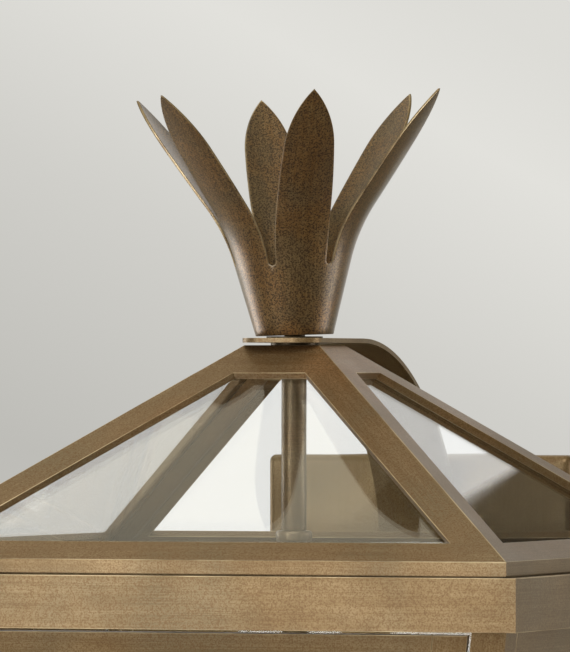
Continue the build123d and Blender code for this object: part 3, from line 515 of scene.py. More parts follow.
def softened(places, triangles, width, others=None, sharp=math.radians(28)):
    """One solid with its flat faces whole again and its sharp edges rounded and marked as worn.

    Edges that lie against one of the other solids of the piece are joints, and stay square.
    """
    bm = bmesh.new()
    used = sorted({i for ring in triangles for i in ring})
    verts = {i: bm.verts.new(places[i]) for i in used}
    for ring in triangles:
        try:
            bm.faces.new([verts[i] for i in ring])
        except ValueError:
            continue
    bmesh.ops.dissolve_limit(bm, angle_limit=math.radians(0.2), verts=bm.verts, edges=bm.edges)
    if others:
        split_at(bm, others[0])
    edges = [e for e in bm.edges if len(e.link_faces) == 2 and e.calc_face_angle(0) > sharp]
    if others:
        edges = [e for e in edges if not touches(others[1], e)]
    worn = set()
    if width > 0 and edges:
        made = bmesh.ops.bevel(bm, geom=edges, offset=width, segments=2, profile=0.5, affect="EDGES",
                               clamp_overlap=True)
        worn = set(made["faces"])
    bm.verts.index_update()
    result = ([v.co.copy() for v in bm.verts], [[v.index for v in f.verts] for f in bm.faces],
              [1.0 if f in worn else 0.0 for f in bm.faces])
    bm.free()
    return result


def touches(surface, edge):
    """Whether an edge lies on a surface along its whole length."""
    a, b = (vert.co for vert in edge.verts)
    return all(surface.find_nearest(a.lerp(b, share), ON_FACE)[0] for share in (0.1, 0.5, 0.9))


def beside(solids, number):
    """Corners and surface of a piece's other strips that lie close to one of its strips."""
    if len(solids[number][1]) > STRIP_TRIANGLES:
        return None

    def box(places, triangles):
        points = [places[i] for ring in triangles for i in ring]
        return [[pick(p[axis] for p in points) for axis in range(3)] for pick in (min, max)]

    low, high = box(*solids[number])
    corners, rings = [], []
    for other, (places, triangles) in enumerate(solids):
        start, end = box(places, triangles)
        apart = any(start[k] > high[k] + MM or end[k] < low[k] - MM for k in range(3))
        if other == number or apart or len(triangles) > STRIP_TRIANGLES:
            continue
        rings += triangles
        corners += [places[i] for i in {i for ring in triangles for i in ring}]
    return (corners, BVHTree.FromPolygons(solids[0][0], rings)) if rings else None


def shade(mesh, angle=math.radians(35)):
    """Smooth shading that stays flat on flat faces and breaks at sharp edges."""
    mesh.polygons.foreach_set("use_smooth", [True] * len(mesh.polygons))
    mesh.set_sharp_from_angle(angle=angle)
    mesh.update()


def settle(piece, node, finish_name=None):
    """Give a finished piece its finish, and the body and slot of a CAD node."""
    piece.data.materials.clear()
    piece.data.materials.append(finish(finish_name or FINISH_OF_SLOT[SLOTS[node]]))
    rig.ride(piece, BODY_OF[node])
    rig.slot(piece, SLOTS[node])
    return piece


def new_object(name, mesh):
    """Object for a finished mesh, at the origin."""
    piece = bpy.data.objects.new(name, mesh)
    bpy.context.scene.collection.objects.link(piece)
    return piece


def evaluated_mesh(piece):
    """Plain mesh of a piece as its modifiers shape it."""
    bpy.context.view_layer.update()
    return bpy.data.meshes.new_from_object(piece.evaluated_get(bpy.context.evaluated_depsgraph_get()))


def apply_modifiers(piece):
    """Turn a piece's evaluated shape into its plain mesh."""
    mesh = evaluated_mesh(piece)
    piece.modifiers.clear()
    piece.data = mesh
    return piece


def even_normals(piece):
    """Let the large faces set the shading, so that flat faces look flat beside their rounded edges."""
    modifier = piece.modifiers.new("flat faces", "WEIGHTED_NORMAL")
    modifier.keep_sharp = True
    return apply_modifiers(piece)


def dress(node, width=None, finish_name=None, grain_at=None):
    """A CAD node's own shape with rounded, worn edges and a grain along each of its solids.

    grain_at(place) gives the grain of a piece that is bent; its first value runs along the piece.
    """
    sizes = settings()[0]
    width = sizes.edge_round if width is None else width
    stock = Stock()
    solids = solids_of(node)
    for number, (places, triangles) in enumerate(solids):
        others = beside(solids, number) if width > 0 else None
        corners, rings, worn = softened(places, triangles, width, others)
        axes = grain_of(corners)
        shift = SOLID_SHIFT * number
        grains = [grain_at(corner) if grain_at else axes @ corner + shift for corner in corners]
        stock.add(corners, grains, rings, worn)
    mesh = stock.mesh(node + "_shape")
    shade(mesh)
    piece = even_normals(new_object(node + "_shape", mesh))
    settle(piece, node, finish_name)
    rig.replaces(piece, node)
    return piece


def rounded(corners, radius, steps=3, closed=False):
    """Outline with its corners rounded; each corner is (r, z)."""
    count = len(corners)
    points = []
    for i, corner in enumerate(corners):
        here = Vector(corner)
        if not closed and i in (0, count - 1):
            points.append(here)
            continue
        before, after = Vector(corners[i - 1]), Vector(corners[(i + 1) % count])
        reach = min(radius, 0.45 * (before - here).length, 0.45 * (after - here).length)
        start = here + (before - here).normalized() * reach
        end = here + (after - here).normalized() * reach
        for step in range(steps + 1):
            t = step / steps
            points.append(start * (1 - t) ** 2 + here * (2 * t * (1 - t)) + end * t ** 2)
    return points


def weld(mesh, gap, outwards=False):
    """Join the corners of a mesh that meet, and turn its faces outwards where that is asked for."""
    bm = bmesh.new()
    bm.from_mesh(mesh)
    bmesh.ops.remove_doubles(bm, verts=bm.verts, dist=gap)
    if outwards:
        bmesh.ops.recalc_face_normals(bm, faces=bm.faces)
    bm.to_mesh(mesh)
    bm.free()


def lathe(outline, place, turns=64, closed=False, swell=None):
    """Turned mesh about local Z; swell(angle, r, z) may change a point's radius."""
    stock = Stock()
    places, grains, rings = [], [], []
    travelled = 0.0
    for row, point in enumerate(outline):
        travelled += (point - outline[row - 1]).length if row else 0.0
        for turn in range(turns):
            angle = 2 * math.pi * turn / turns
            r = swell(angle, point.x, point.y) if swell else point.x
            places.append(place @ Vector((r * math.cos(angle), r * math.sin(angle), point.y)))
            grains.append((0.0, travelled, point.x))
    rows = len(outline)
    for row in range(rows if closed else rows - 1):
        low, high = row * turns, (row + 1) % rows * turns
        for turn in range(turns):
            after = (turn + 1) % turns
            rings.append([low + turn, low + after, high + after, high + turn])
    stock.add(places, grains, rings, [0.0] * len(rings))
    mesh = stock.mesh("turned")
    weld(mesh, SAME_CORNER, outwards=True)
    shade(mesh)
    return mesh


def about_axis(node):
    """Middle, radius, lowest and highest level of an upright round node."""
    low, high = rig.box(node)
    middle = (low + high) / 2
    return Vector((middle.x, middle.y, 0.0)), (high.x - low.x) / 2, low.z, high.z


def turned_piece(node, outline, place, **how):
    """Turned piece that stands for a CAD node."""
    mesh = lathe(outline, place, **how)
    mesh.name = node + "_turned"
    piece = settle(new_object(node + "_turned", mesh), node)
    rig.replaces(piece, node)
    return piece


def tube_outline(outer, inner, low, high, edge):
    """Outline of a round tube with rounded rims."""
    return rounded([(outer, low), (outer, high), (inner, high), (inner, low)], edge, closed=True)


# Geometry node trees


def new_tree(name, sizes):
    """Geometry Nodes tree that takes and gives a piece, with its named sizes and a material."""
    tree = bpy.data.node_groups.new(name, "GeometryNodeTree")
    for label, kind in (("Geometry", "Geometry"), *sizes, ("Material", "Material")):
        tree.interface.new_socket(label, in_out="INPUT", socket_type="NodeSocket" + kind)
    tree.interface.new_socket("Geometry", in_out="OUTPUT", socket_type="NodeSocketGeometry")
    return tree


def end_tree(tree, geometry, grain, material, weld_gap=0.0):
    """Last part of a tree: the grain is stored, corners that meet are joined, and the material is set."""
    stored = add_node(tree, "GeometryNodeStoreNamedAttribute", {"Geometry": geometry, "Name": "grain"},
                      data_type="FLOAT_VECTOR", domain="POINT")
    tree.links.new(grain, stored.inputs["Value"])
    last = stored.outputs[0]
    if weld_gap:
        last = add_node(tree, "GeometryNodeMergeByDistance", {"Geometry": last,
                                                              "Distance": weld_gap}).outputs[0]
    dressed = add_node(tree, "GeometryNodeSetMaterial", {"Geometry": last, "Material": material})
    add_node(tree, "NodeGroupOutput", {"Geometry": dressed.outputs[0]})
    return tree


def ring_tree():
    """Copies of a mesh round the lantern's axis, each with a shift in its grain."""
    tree = bpy.data.node_groups.get("copies_round_axis")
    if tree:
        return tree
    tree = new_tree("copies_round_axis", (("Count", "Int"), ("Centre", "Vector"), ("First turn", "Float")))
    given = add_node(tree, "NodeGroupInput").outputs
    number = add_node(tree, "GeometryNodeInputIndex").outputs[0]
    points = add_node(tree, "GeometryNodePoints", {"Count": given["Count"], "Position": given["Centre"]})
    step = add_node(tree, "ShaderNodeMath", {0: 2 * math.pi, 1: given["Count"]}, operation="DIVIDE")
    turn = add_node(tree, "ShaderNodeMath", {0: number, 1: step.outputs[0], 2: given["First turn"]},
                    operation="MULTIPLY_ADD")
    spin = add_node(tree, "ShaderNodeCombineXYZ", {"Z": turn.outputs[0]})
    copies = add_node(tree, "GeometryNodeInstanceOnPoints", {"Points": points.outputs[0],
                                                            "Instance": given["Geometry"]})
    tree.links.new(spin.outputs[0], copies.inputs["Rotation"])
    marked = add_node(tree, "GeometryNodeStoreNamedAttribute", {"Geometry": copies.outputs[0],
                                                               "Name": "copy"},
                      data_type="FLOAT", domain="INSTANCE")
    tree.links.new(number, marked.inputs["Value"])
    real = add_node(tree, "GeometryNodeRealizeInstances", {"Geometry": marked.outputs[0]})
    copy_number = add_node(tree, "GeometryNodeInputNamedAttribute", {"Name": "copy"}, data_type="FLOAT")
    grain = add_node(tree, "GeometryNodeInputNamedAttribute", {"Name": "grain"}, data_type="FLOAT_VECTOR")
    shift = add_node(tree, "ShaderNodeVectorMath", {0: COPY_SHIFT, "Scale": copy_number.outputs[0]},
                     operation="SCALE")
    moved = add_node(tree, "ShaderNodeVectorMath", {0: grain.outputs[0], 1: shift.outputs[0]},
                     operation="ADD")
    return end_tree(tree, real.outputs[0], moved.outputs[0], given["Material"], WELD)


def rod_tree():
    """Round rod bent along a path of straight runs."""
    tree = bpy.data.node_groups.get("bent_rod")
    if tree:
        return tree
    tree = new_tree("bent_rod", (("Radius", "Float"), ("Bend radius", "Float")))
    given = add_node(tree, "NodeGroupInput").outputs
    bent = add_node(tree, "GeometryNodeFilletCurve", {"Curve": given["Geometry"], "Count": 16,
                                                      "Radius": given["Bend radius"]}, mode="POLY")
    section = add_node(tree, "GeometryNodeCurvePrimitiveCircle", {"Resolution": 24,
                                                                  "Radius": given["Radius"]})
    rod = add_node(tree, "GeometryNodeCurveToMesh", {"Curve": bent.outputs[0], "Fill Caps": True,
                                                     "Profile Curve": section.outputs[0]})
    smooth = add_node(tree, "GeometryNodeSetShadeSmooth", {"Geometry": rod.outputs[0]})
    place = add_node(tree, "GeometryNodeInputPosition")
    return end_tree(tree, smooth.outputs[0], place.outputs[0], given["Material"])


def add_tree(piece, tree, inputs):
    """Give a piece a Geometry Nodes tree with its named inputs."""
    modifier = piece.modifiers.new(tree.name, "NODES")
    modifier.node_group = tree
    sockets = {item.name: item.identifier for item in tree.interface.items_tree if item.in_out == "INPUT"}
    for name, value in inputs.items():
        modifier[sockets[name]] = value


def ring_of(name, mesh, node, count, first_turn, centre=(0.0, 0.0, 0.0)):
    """Copies of a mesh, drawn about the origin, round a centre, as one piece in a node's finish."""
    piece = new_object(name, mesh)
    add_tree(piece, ring_tree(), {"Count": count, "Centre": centre, "First turn": first_turn,
                                  "Material": finish(FINISH_OF_SLOT[SLOTS[node]])})
    return apply_modifiers(piece)


# The crown


def crown_radius(sizes, z):
    """Outer radius of the crown's sheet at a height, and the sheet's angle from the upright."""
    away = math.atan((sizes.root_r - sizes.base_r) / sizes.root_z)
    if z <= sizes.root_z:
        return sizes.root_r - (sizes.root_z - z) * math.tan(away), away
    rise = (z - sizes.root_z) / sizes.bend_r + math.sin(away)
    last = away + sizes.bend
    if rise < math.sin(last):
        angle = math.asin(rise)
        return sizes.root_r + sizes.bend_r * (math.cos(away) - math.cos(angle)), angle
    bend_z = sizes.root_z + sizes.bend_r * (math.sin(last) - math.sin(away))
    bend_r = sizes.root_r + sizes.bend_r * (math.cos(away) - math.cos(last))
    return bend_r + (z - bend_z) * math.tan(last), last


def circle_through(a, b, c):
    """Centre and radius of the circle through three points."""
    (ax, ay), (bx, by), (cx, cy) = a, b, c
    d = 2 * (ax * (by - cy) + bx * (cy - ay) + cx * (ay - by))
    aa, bb, cc = ax ** 2 + ay ** 2, bx ** 2 + by ** 2, cx ** 2 + cy ** 2
    ux = (aa * (by - cy) + bb * (cy - ay) + cc * (ay - by)) / d
    uy = (aa * (cx - bx) + bb * (ax - cx) + cc * (bx - ax)) / d
    return Vector((ux, uy)), math.hypot(ax - ux, ay - uy)


def leaf_contour(sizes):
    """Right edge of a leaf, from the slot's bottom to the tip, as (half-width, z) points."""
    slot_steps, side_steps, point_steps = 8, 25, 25
    root_half = sizes.root_r * math.sin(math.pi / sizes.leaves - math.asin(sizes.slot_r / sizes.root_r))
    shoulder = Vector((sizes.shoulder_half, sizes.shoulder_z))
    centre, radius = circle_through((root_half, sizes.root_z), (sizes.wide_half, sizes.wide_z), shoulder)
    contour = []
    for step in range(slot_steps):
        angle = math.pi / 2 * step / slot_steps
        z = sizes.root_z - sizes.slot_r * math.cos(angle)
        r = crown_radius(sizes, z)[0]
        gap = math.asin(sizes.slot_r * math.sin(angle) / r)
        contour.append(Vector((r * math.sin(math.pi / sizes.leaves - gap), z)))
    for step in range(side_steps):
        z = sizes.root_z + (sizes.shoulder_z - sizes.root_z) * step / side_steps
        contour.append(Vector((centre.x + math.sqrt(radius ** 2 - (z - centre.y) ** 2), z)))
    inwards = (centre - shoulder).normalized()
    chord = Vector((0.0, sizes.tip_z)) - shoulder
    point_r = chord.length_squared / (2 * chord.dot(inwards))
    point_centre = shoulder + inwards * point_r
    start = math.atan2(*(shoulder - point_centre).yx)
    end = math.atan2(*(Vector((0.0, sizes.tip_z)) - point_centre).yx)
    for step in range(point_steps + 1):
        angle = start + (end - start) * step / point_steps
        contour.append(point_centre + Vector((math.cos(angle), math.sin(angle))) * point_r)
    return contour


def leaf_mesh(sizes, columns=12):
    """One leaf and its sixth of the crown's base, drawn about the axis and facing -Y."""
    edge, base_steps = 0.28 * MM, 10
    contour = leaf_contour(sizes)
    share = math.pi / sizes.leaves
    inset = []
    for i, point in enumerate(contour):
        along = contour[min(i + 1, len(contour) - 1)] - contour[max(i - 1, 0)]
        if i == 0:
            inset.append(Vector((point.x, point.y - edge)))
            continue
        normal = Vector((-along.y, along.x)).normalized()
        inner = point + normal * edge
        inset.append(Vector((max(inner.x, 0.0), inner.y)))
    inset[-1] = Vector((0.0, contour[-1].y - 3 * edge))

    def angle_at(point):
        return min(share, math.asin(min(1.0, point.x / crown_radius(sizes, point.y)[0])))

    def place(angle, z, depth):
        r, lean = crown_radius(sizes, z)
        r -= depth / math.cos(lean)
        return Vector((r * math.sin(angle), -r * math.cos(angle), z))

    base = [(edge, 0.0), (0.3 * edge, 0.3 * edge), (0.0, edge)]
    low_rows = [(share, z, depth) for depth, z in base]
    low_rows += [(share, inset[0].y * step / base_steps, 0.0) for step in range(1, base_steps)]
    outer_rows = low_rows + [(angle_at(p), p.y, 0.0) for p in inset]
    inner_rows = [(a, z, sizes.sheet) for a, z, depth in outer_rows]
    places, grains, rings, worn = [], [], [], []

    def put(angle, z, depth):
        places.append(place(angle, z, depth))
        r = crown_radius(sizes, z)[0]
        grains.append((z, r * angle, depth))
        return len(places) - 1

    def sheet_rows(rows):
        return [[put(a * j / columns, z, d) for j in range(-columns, columns + 1)] for a, z, d in rows]

    def quads(first, second, mark, flip):
        for i in range(len(first) - 1):
            ring = [first[i], first[i + 1], second[i + 1], second[i]]
            rings.append(ring[::-1] if flip else ring)
            worn.append(mark)

    outer, inner = sheet_rows(outer_rows), sheet_rows(inner_rows)
    for i in range(len(outer) - 1):
        mark = 1.0 if i < len(base) - 1 else 0.0
        quads(outer[i], outer[i + 1], mark, False)
        quads(inner[i], inner[i + 1], 0.0, True)
    quads(outer[0], inner[0], 0.6, True)
    first = len(low_rows)
    steps = [(0.3, 0.3 * edge), (0.0, edge), (0.0, sizes.sheet - edge), (0.3, sizes.sheet - 0.3 * edge)]
    for hand in (-1, 1):
        column = 0 if hand < 0 else -1
        strips = []
        for i, (cut, soft) in enumerate(zip(contour, inset)):
            angle, angle_in = angle_at(cut), angle_at(soft)
            row = [outer[first + i][column]]
            for share_in, depth in steps:
                mixed = angle + (angle_in - angle) * share_in
                row.append(put(hand * mixed, cut.y + (soft.y - cut.y) * share_in, depth))
            row.append(inner[first + i][column])
            strips.append(row)
        for low, high in zip(strips, strips[1:]):
            quads(low, high, 1.0, hand < 0)
    stock = Stock()
    stock.add(places, grains, rings, worn)
    mesh = stock.mesh("crown_leaf")
    weld(mesh, WELD)
    shade(mesh, math.radians(50))
    return mesh


class LANTERN_OT_crown(bpy.types.Operator):
    """Six-leaf crown, its threaded floor and the washer it stands on"""
    bl_idname = "lantern.crown"
    bl_label = "Crown"

    def execute(self, context):
        sizes = settings()[0]
        first = math.pi / sizes.leaves + sizes.turn
        piece = ring_of("crown_sheet", leaf_mesh(sizes), "crown_leaves", sizes.leaves, first)
        tilt = math.acos(math.cos(sizes.lean) * math.cos(sizes.nod))
        place = Matrix.Translation((0.0, axis_y, crown_z + sizes.base_r * math.sin(tilt)))
        place = place @ Matrix.Rotation(sizes.nod, 4, "X") @ Matrix.Rotation(-sizes.lean, 4, "Y")
        piece.data.transform(place)
        settle(piece, "crown_leaves")
        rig.replaces(piece, "crown_leaves")
        dress("crown_nut")
        dress("crown_washer", sizes.thin_edge_round)
        return {"FINISHED"}


class LANTERN_OT_strap(bpy.types.Operator):
    """Flat strap from the crown to the wall plate, with its washer, screws and nuts"""
    bl_idname = "lantern.strap"
    bl_label = "Strap"

    def execute(self, context):
        # The strap runs back and down, so its brush lines follow y and z together.
        dress("strap_arm", grain_at=lambda place: ((place.y - place.z) * 0.8, place.x, 0.0))
        for node in ("strap_washer", "strap_screws", "strap_nuts"):
            dress(node, settings()[0].thin_edge_round)
        return {"FINISHED"}


class LANTERN_OT_roof(bpy.types.Operator):
    """Four roof frames, the plate at the apex and the rim under the eaves"""
    bl_idname = "lantern.roof"
    bl_label = "Roof"

    def execute(self, context):
        for side in ("front", "right", "back", "left"):
            dress("roof_frame_" + side, finish_name="roof_bronze")
        dress("apex_plate")
        dress("roof_rim")
        return {"FINISHED"}


class LANTERN_OT_glass(bpy.types.Operator):
    """Panes of the roof, of the body and of the door, and the tabs that hold them"""
    bl_idname = "lantern.glass"
    bl_label = "Glass"

    def execute(self, context):
        for node in ("roof_panes", "body_panes", "door_glass", "glass_clips", "door_glass_clips"):
            dress(node, settings()[0].thin_edge_round)
        return {"FINISHED"}


class LANTERN_OT_body(bpy.types.Operator):
    """Posts, cross bars, rails and the bottom"""
    bl_idname = "lantern.body"
    bl_label = "Body"

    def execute(self, context):
        for node in ("corner_posts", "cross_bars", "top_rails", "bottom_rails", "bottom_plate"):
            dress(node)
        for node in ("bottom_screws", "door_stops"):
            dress(node, settings()[0].thin_edge_round)
        return {"FINISHED"}


class LANTERN_OT_door(bpy.types.Operator):
    """Door frame, hinges and latch"""
    bl_idname = "lantern.door"
    bl_label = "Door"

    def execute(self, context):
        dress("door_frame")
        for node in ("hinge_leaves_door", "hinge_leaves_post", "hinge_pins", "latch_knob", "latch_cam"):
            dress(node, settings()[0].thin_edge_round)
        return {"FINISHED"}


class LANTERN_OT_stem(bpy.types.Operator):
    """Lamp rod down the middle, its tubes, collar, hub and nut"""
    bl_idname = "lantern.stem"
    bl_label = "Centre stem"

    def execute(self, context):
        middle, rod_r = about_axis("centre_rod")[:2]
        rod_wall, rim, collar_rim, slack = 1.8 * MM, 0.3 * MM, 1.2 * MM, 0.1 * MM
        place = Matrix.Translation(middle)
        tubes = (("centre_tube", rod_r, rim), ("lower_tube", rod_r, rim),
                 ("centre_rod", rod_r - rod_wall, rim), ("tube_collar", rod_r + slack, collar_rim))
        for node, inner, edge in tubes:
            outer, low, high = about_axis(node)[1:]
            turned_piece(node, tube_outline(outer, inner, low, high, edge), place, closed=True)
        outer, low, high = about_axis("cluster_hub")[1:]
        shares = ((0.56, 0.0), (0.6, 0.1), (0.98, 0.26), (1.0, 0.5), (0.98, 0.74), (0.6, 0.9), (0.56, 1.0))
        shape = [(rod_r, low)] + [(r * outer, low + z * (high - low)) for r, z in shares] + [(rod_r, high)]
        turned_piece("cluster_hub", rounded(shape, 2 * MM, closed=True), place, closed=True)
        outer, low, high = about_axis("hub_nut")[1:]
        ball = [(rod_r, high), (outer, high), (outer, low + 3 * MM), (0.7 * outer, low), (rod_r, low)]
        turned_piece("hub_nut", rounded(ball, 1.5 * MM, closed=True), place, closed=True)
        return {"FINISHED"}


class LANTERN_OT_candles(bpy.types.Operator):
    """Bent arms, drip pans, candle sleeves and lamp holders, once for each candle"""
    bl_idname = "lantern.candles"
    bl_label = "Candles"

    def execute(self, context):
        self.count = settings()[0].candles
        self.first = math.pi / self.count
        bulb_middle, bulb_r = about_axis("bulb_base_1")[:2]
        self.reach = math.hypot(bulb_middle.x, bulb_middle.y - axis_y)
        self.ring("cluster_arms_bent", "cluster_arms", self.arm())

        pan_r, low, high = self.outer_and_levels("drip_pans")
        wall = 1.2 * MM
        pan = [(0.0, low), (0.62 * pan_r, low), (0.78 * pan_r, low + wall), (0.9 * pan_r, high - 1.4 * MM),
               (pan_r, high - 0.4 * MM), (pan_r - 0.5 * MM, high), (0.88 * pan_r, high - 0.4 * MM),
               (0.72 * pan_r, low + 1.2 * wall), (0.6 * pan_r, low + wall), (0.0, low + wall)]
        self.turned("drip_pans_spun", "drip_pans", rounded(pan, 0.8 * MM))

        rim, sleeve_bore, cup_deep = 0.3 * MM, 10.2 * MM, 24 * MM
        outer, low, high = self.outer_and_levels("candle_sleeves")
        sleeve = tube_outline(outer, sleeve_bore, low, high, rim)
        self.turned("candle_sleeves_turned", "candle_sleeves", sleeve, closed=True)
        outer, low, high = self.outer_and_levels("lampholder_stems")
        stem = rounded([(0.0, low), (outer, low), (outer, high), (0.0, high)], rim)
        self.turned("lampholder_stems_turned", "lampholder_stems", stem)
        outer, low, high = self.outer_and_levels("lampholders")
        bore = bulb_r + 0.25 * MM
        cup = [(0.0, low), (outer, low), (outer, high), (bore, high), (bore, high - cup_deep),
               (0.0, high - cup_deep)]
        self.turned("lampholders_turned", "lampholders", rounded(cup, 0.6 * MM))
        return {"FINISHED"}

    def outer_and_levels(self, node):
        """Outer radius, lowest and highest level of a round piece that stands on each arm."""
        low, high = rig.box(node)
        return (high.x - low.x) / 2 - self.reach * math.cos(self.first), low.z, high.z

    def ring(self, name, node, mesh):
        """The same piece on each arm."""
        piece = settle(ring_of(name, mesh, node, self.count, self.first, (0.0, axis_y, 0.0)), node)
        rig.replaces(piece, node)

    def turned(self, name, node, outline, closed=False):
        """The same turned piece on each arm."""
        self.ring(name, node, lathe(outline, Matrix.Translation((self.reach, 0.0, 0.0)), closed=closed))

    def arm(self):
        """One arm: out of the hub, then up to the drip pan."""
        low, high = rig.box("cluster_arms")
        radius, bend_r = 4 * MM, 15 * MM
        start = about_axis("cluster_hub")[1] - MM
        level = low.z + radius
        curve = bpy.data.curves.new("arm_path", "CURVE")
        curve.dimensions = "3D"
        run = curve.splines.new("POLY")
        run.points.add(2)
        spots = ((start, 0, level), (self.reach, 0, level), (self.reach, 0, high.z))
        for point, spot in zip(run.points, spots):
            point.co = (*spot, 1.0)
        arm = new_object("arm_rod", curve)
        add_tree(arm, rod_tree(), {"Radius": radius, "Bend radius": bend_r, "Material": finish("aged_brass")})
        mesh = evaluated_mesh(arm)
        bpy.data.objects.remove(arm)
        return mesh


class LANTERN_OT_bulbs(bpy.types.Operator):
    """Candle lamps: threaded base, glass and filament of each"""
    bl_idname = "lantern.bulbs"
    bl_label = "Lamps"

    def execute(self, context):
        for number in range(1, settings()[0].candles + 1):
            base, glass = f"bulb_base_{number}", f"bulb_glass_{number}"
            middle, outer, low, high = about_axis(base)
            place = Matrix.Translation(middle)
            tip, pitch, depth, steps = 2 * MM, 2.5 * MM, 0.3 * MM, 56
            top = high - 3 * MM
            start = low + 1.6 * tip
            shape = [Vector((0.0, low)), Vector((0.33 * outer, low)), Vector((0.36 * outer, low + 0.7 * tip)),
                     Vector((0.8 * outer, low + tip)), Vector((0.88 * outer, start))]
            for step in range(1, steps):
                z = start + (top - start) * step / steps
                shape.append(Vector((outer - depth + depth * math.sin(2 * math.pi * z / pitch), z)))
            shape += [Vector((outer, top)), Vector((outer, high)), Vector((0.0, high))]
            turned_piece(base, shape, place)
            self.glass(glass, number)
        return {"FINISHED"}

    def glass(self, node, number):
        """Blown glass with its point at the top, and the filament inside it."""
        middle, outer, low, high = about_axis(node)
        place = Matrix.Translation(middle)
        tall = high - low
        wall = 0.8 * MM
        shares = ((0.33, 0.0), (0.33, 0.08), (0.45, 0.13), (0.72, 0.22), (0.93, 0.32), (1.0, 0.42),
                  (0.95, 0.55), (0.76, 0.69), (0.47, 0.83), (0.2, 0.94), (0.0, 1.0))
        outside = smooth_line([(outer * r, low + tall * z) for r, z in shares], 5)
        inside = [Vector((max(p.x - wall, 0.0), min(p.y, high - 1.5 * wall))) for p in outside]
        turned_piece(node, outside + inside[::-1], place, turns=48)
        wire = new_object(f"bulb_filament_{number}", self.filament(low, tall, place))
        wire.data.materials.append(finish("tungsten"))
        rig.ride(wire, BODY_OF[node])
        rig.slot(wire, SLOTS[f"bulb_base_{number}"])

    def filament(self, low, tall, place):
        """Two upright leads and a coil of wire between them."""
        stock = Stock()
        reach, foot, coil_r, rise = 2.6 * MM, 1.2 * MM, 0.45 * MM, 4 * MM
        lead_wire_r, coil_wire_r = 0.25 * MM, 0.12 * MM
        coil_turns, steps = 18, 180
        lead_top = low + 0.5 * tall
        for hand in (-1, 1):
            path = [Vector((hand * foot, 0.0, low + MM)), Vector((hand * foot, 0.0, low + 0.25 * tall)),
                    Vector((hand * reach, 0.0, lead_top))]
            add_wire(stock, path, lead_wire_r)
        coil = []
        for step in range(steps + 1):
            share = step / steps
            angle = share * 2 * math.pi * coil_turns
            arch = math.sin(math.pi * share) * rise
            coil.append(Vector(((2 * share - 1) * reach, coil_r * math.cos(angle),
                                lead_top + arch + coil_r * math.sin(angle))))
        add_wire(stock, coil, coil_wire_r)
        mesh = stock.mesh("filament")
        mesh.transform(place)
        shade(mesh, math.radians(70))
        return mesh


def smooth_line(corners, steps):
    """Smooth outline through its corners, with a few steps between each two."""
    points = [Vector(c) for c in corners]
    ends = [points[0] * 2 - points[1]] + points + [points[-1] * 2 - points[-2]]
    line = []
    for a, b, c, d in zip(ends, ends[1:], ends[2:], ends[3:]):
        for step in range(steps):
            t = step / steps
            line.append(0.5 * (2 * b + (c - a) * t + (2 * a - 5 * b + 4 * c - d) * t ** 2
                               + (3 * b - a - 3 * c + d) * t ** 3))
    return line + [points[-1]]


def add_wire(stock, path, radius, sides=8):
    """Round wire along a path, with closed ends."""
    places, rings = [], []
    for i, point in enumerate(path):
        way = (path[min(i + 1, len(path) - 1)] - path[max(i - 1, 0)]).normalized()
        side = way.cross(Vector((0.3, 1.0, 0.2))).normalized()
        up = way.cross(side)
        for k in range(sides):
            angle = 2 * math.pi * k / sides
            places.append(point + (side * math.cos(angle) + up * math.sin(angle)) * radius)
    for i in range(len(path) - 1):
        for k in range(sides):
            a, b = i * sides + k, i * sides + (k + 1) % sides
            rings.append([a, b, b + sides, a + sides])
    rings.append(list(range(sides))[::-1])
    rings.append(list(range((len(path) - 1) * sides, len(path) * sides)))
    stock.add(places, places, rings, [0.0] * len(rings))


class LANTERN_OT_wall_plate(bpy.types.Operator):
    """Wall plate with its bushing, mounting bar, studs, nuts and washers"""
    bl_idname = "lantern.wall_plate"
    bl_label = "Wall plate"

    def execute(self, context):
        dress("wall_plate")
        dress("mounting_bar")
        for node in ("wire_bushing", "fixture_studs", "stud_nuts", "ground_screw", "cap_washers"):
            dress(node, settings()[0].thin_edge_round)
        return {"FINISHED"}


class LANTERN_OT_cap_nuts(bpy.types.Operator):
    """Domed and fluted cap nuts over the studs"""
    bl_idname = "lantern.cap_nuts"
    bl_label = "Cap nuts"

    def execute(self, context):
        for node in ("cap_nut_left", "cap_nut_right"):
            low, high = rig.box(node)
            middle = (low + high) / 2
            outer, tall = (high.x - low.x) / 2, high.y - low.y
            place = Matrix.Translation((middle.x, high.y, middle.z))
            place = place @ Matrix.Rotation(math.radians(90), 4, "X")
            dome = 5 * MM
            shape = [(0.0, 0.0), (outer, 0.0), (outer, tall - dome), (0.82 * outer, tall - 0.35 * dome),
                     (0.45 * outer, tall - 0.06 * dome), (0.0, tall)]
            turned_piece(node, rounded(shape, 1.2 * MM), place, turns=96, swell=self.flutes(tall - dome))
        return {"FINISHED"}

    def flutes(self, top):
        """Twelve shallow grooves round the side of the nut."""
        grooves, deep, flat_r = 12, 0.7 * MM, 4 * MM

        def swell(angle, r, z):
            inside = max(0.0, min(1.0, (top - z) / MM, (z - MM) / MM))
            groove = max(0.0, math.cos(grooves * angle)) ** 3
            return r - deep * groove * inside if r > flat_r else r
        return swell


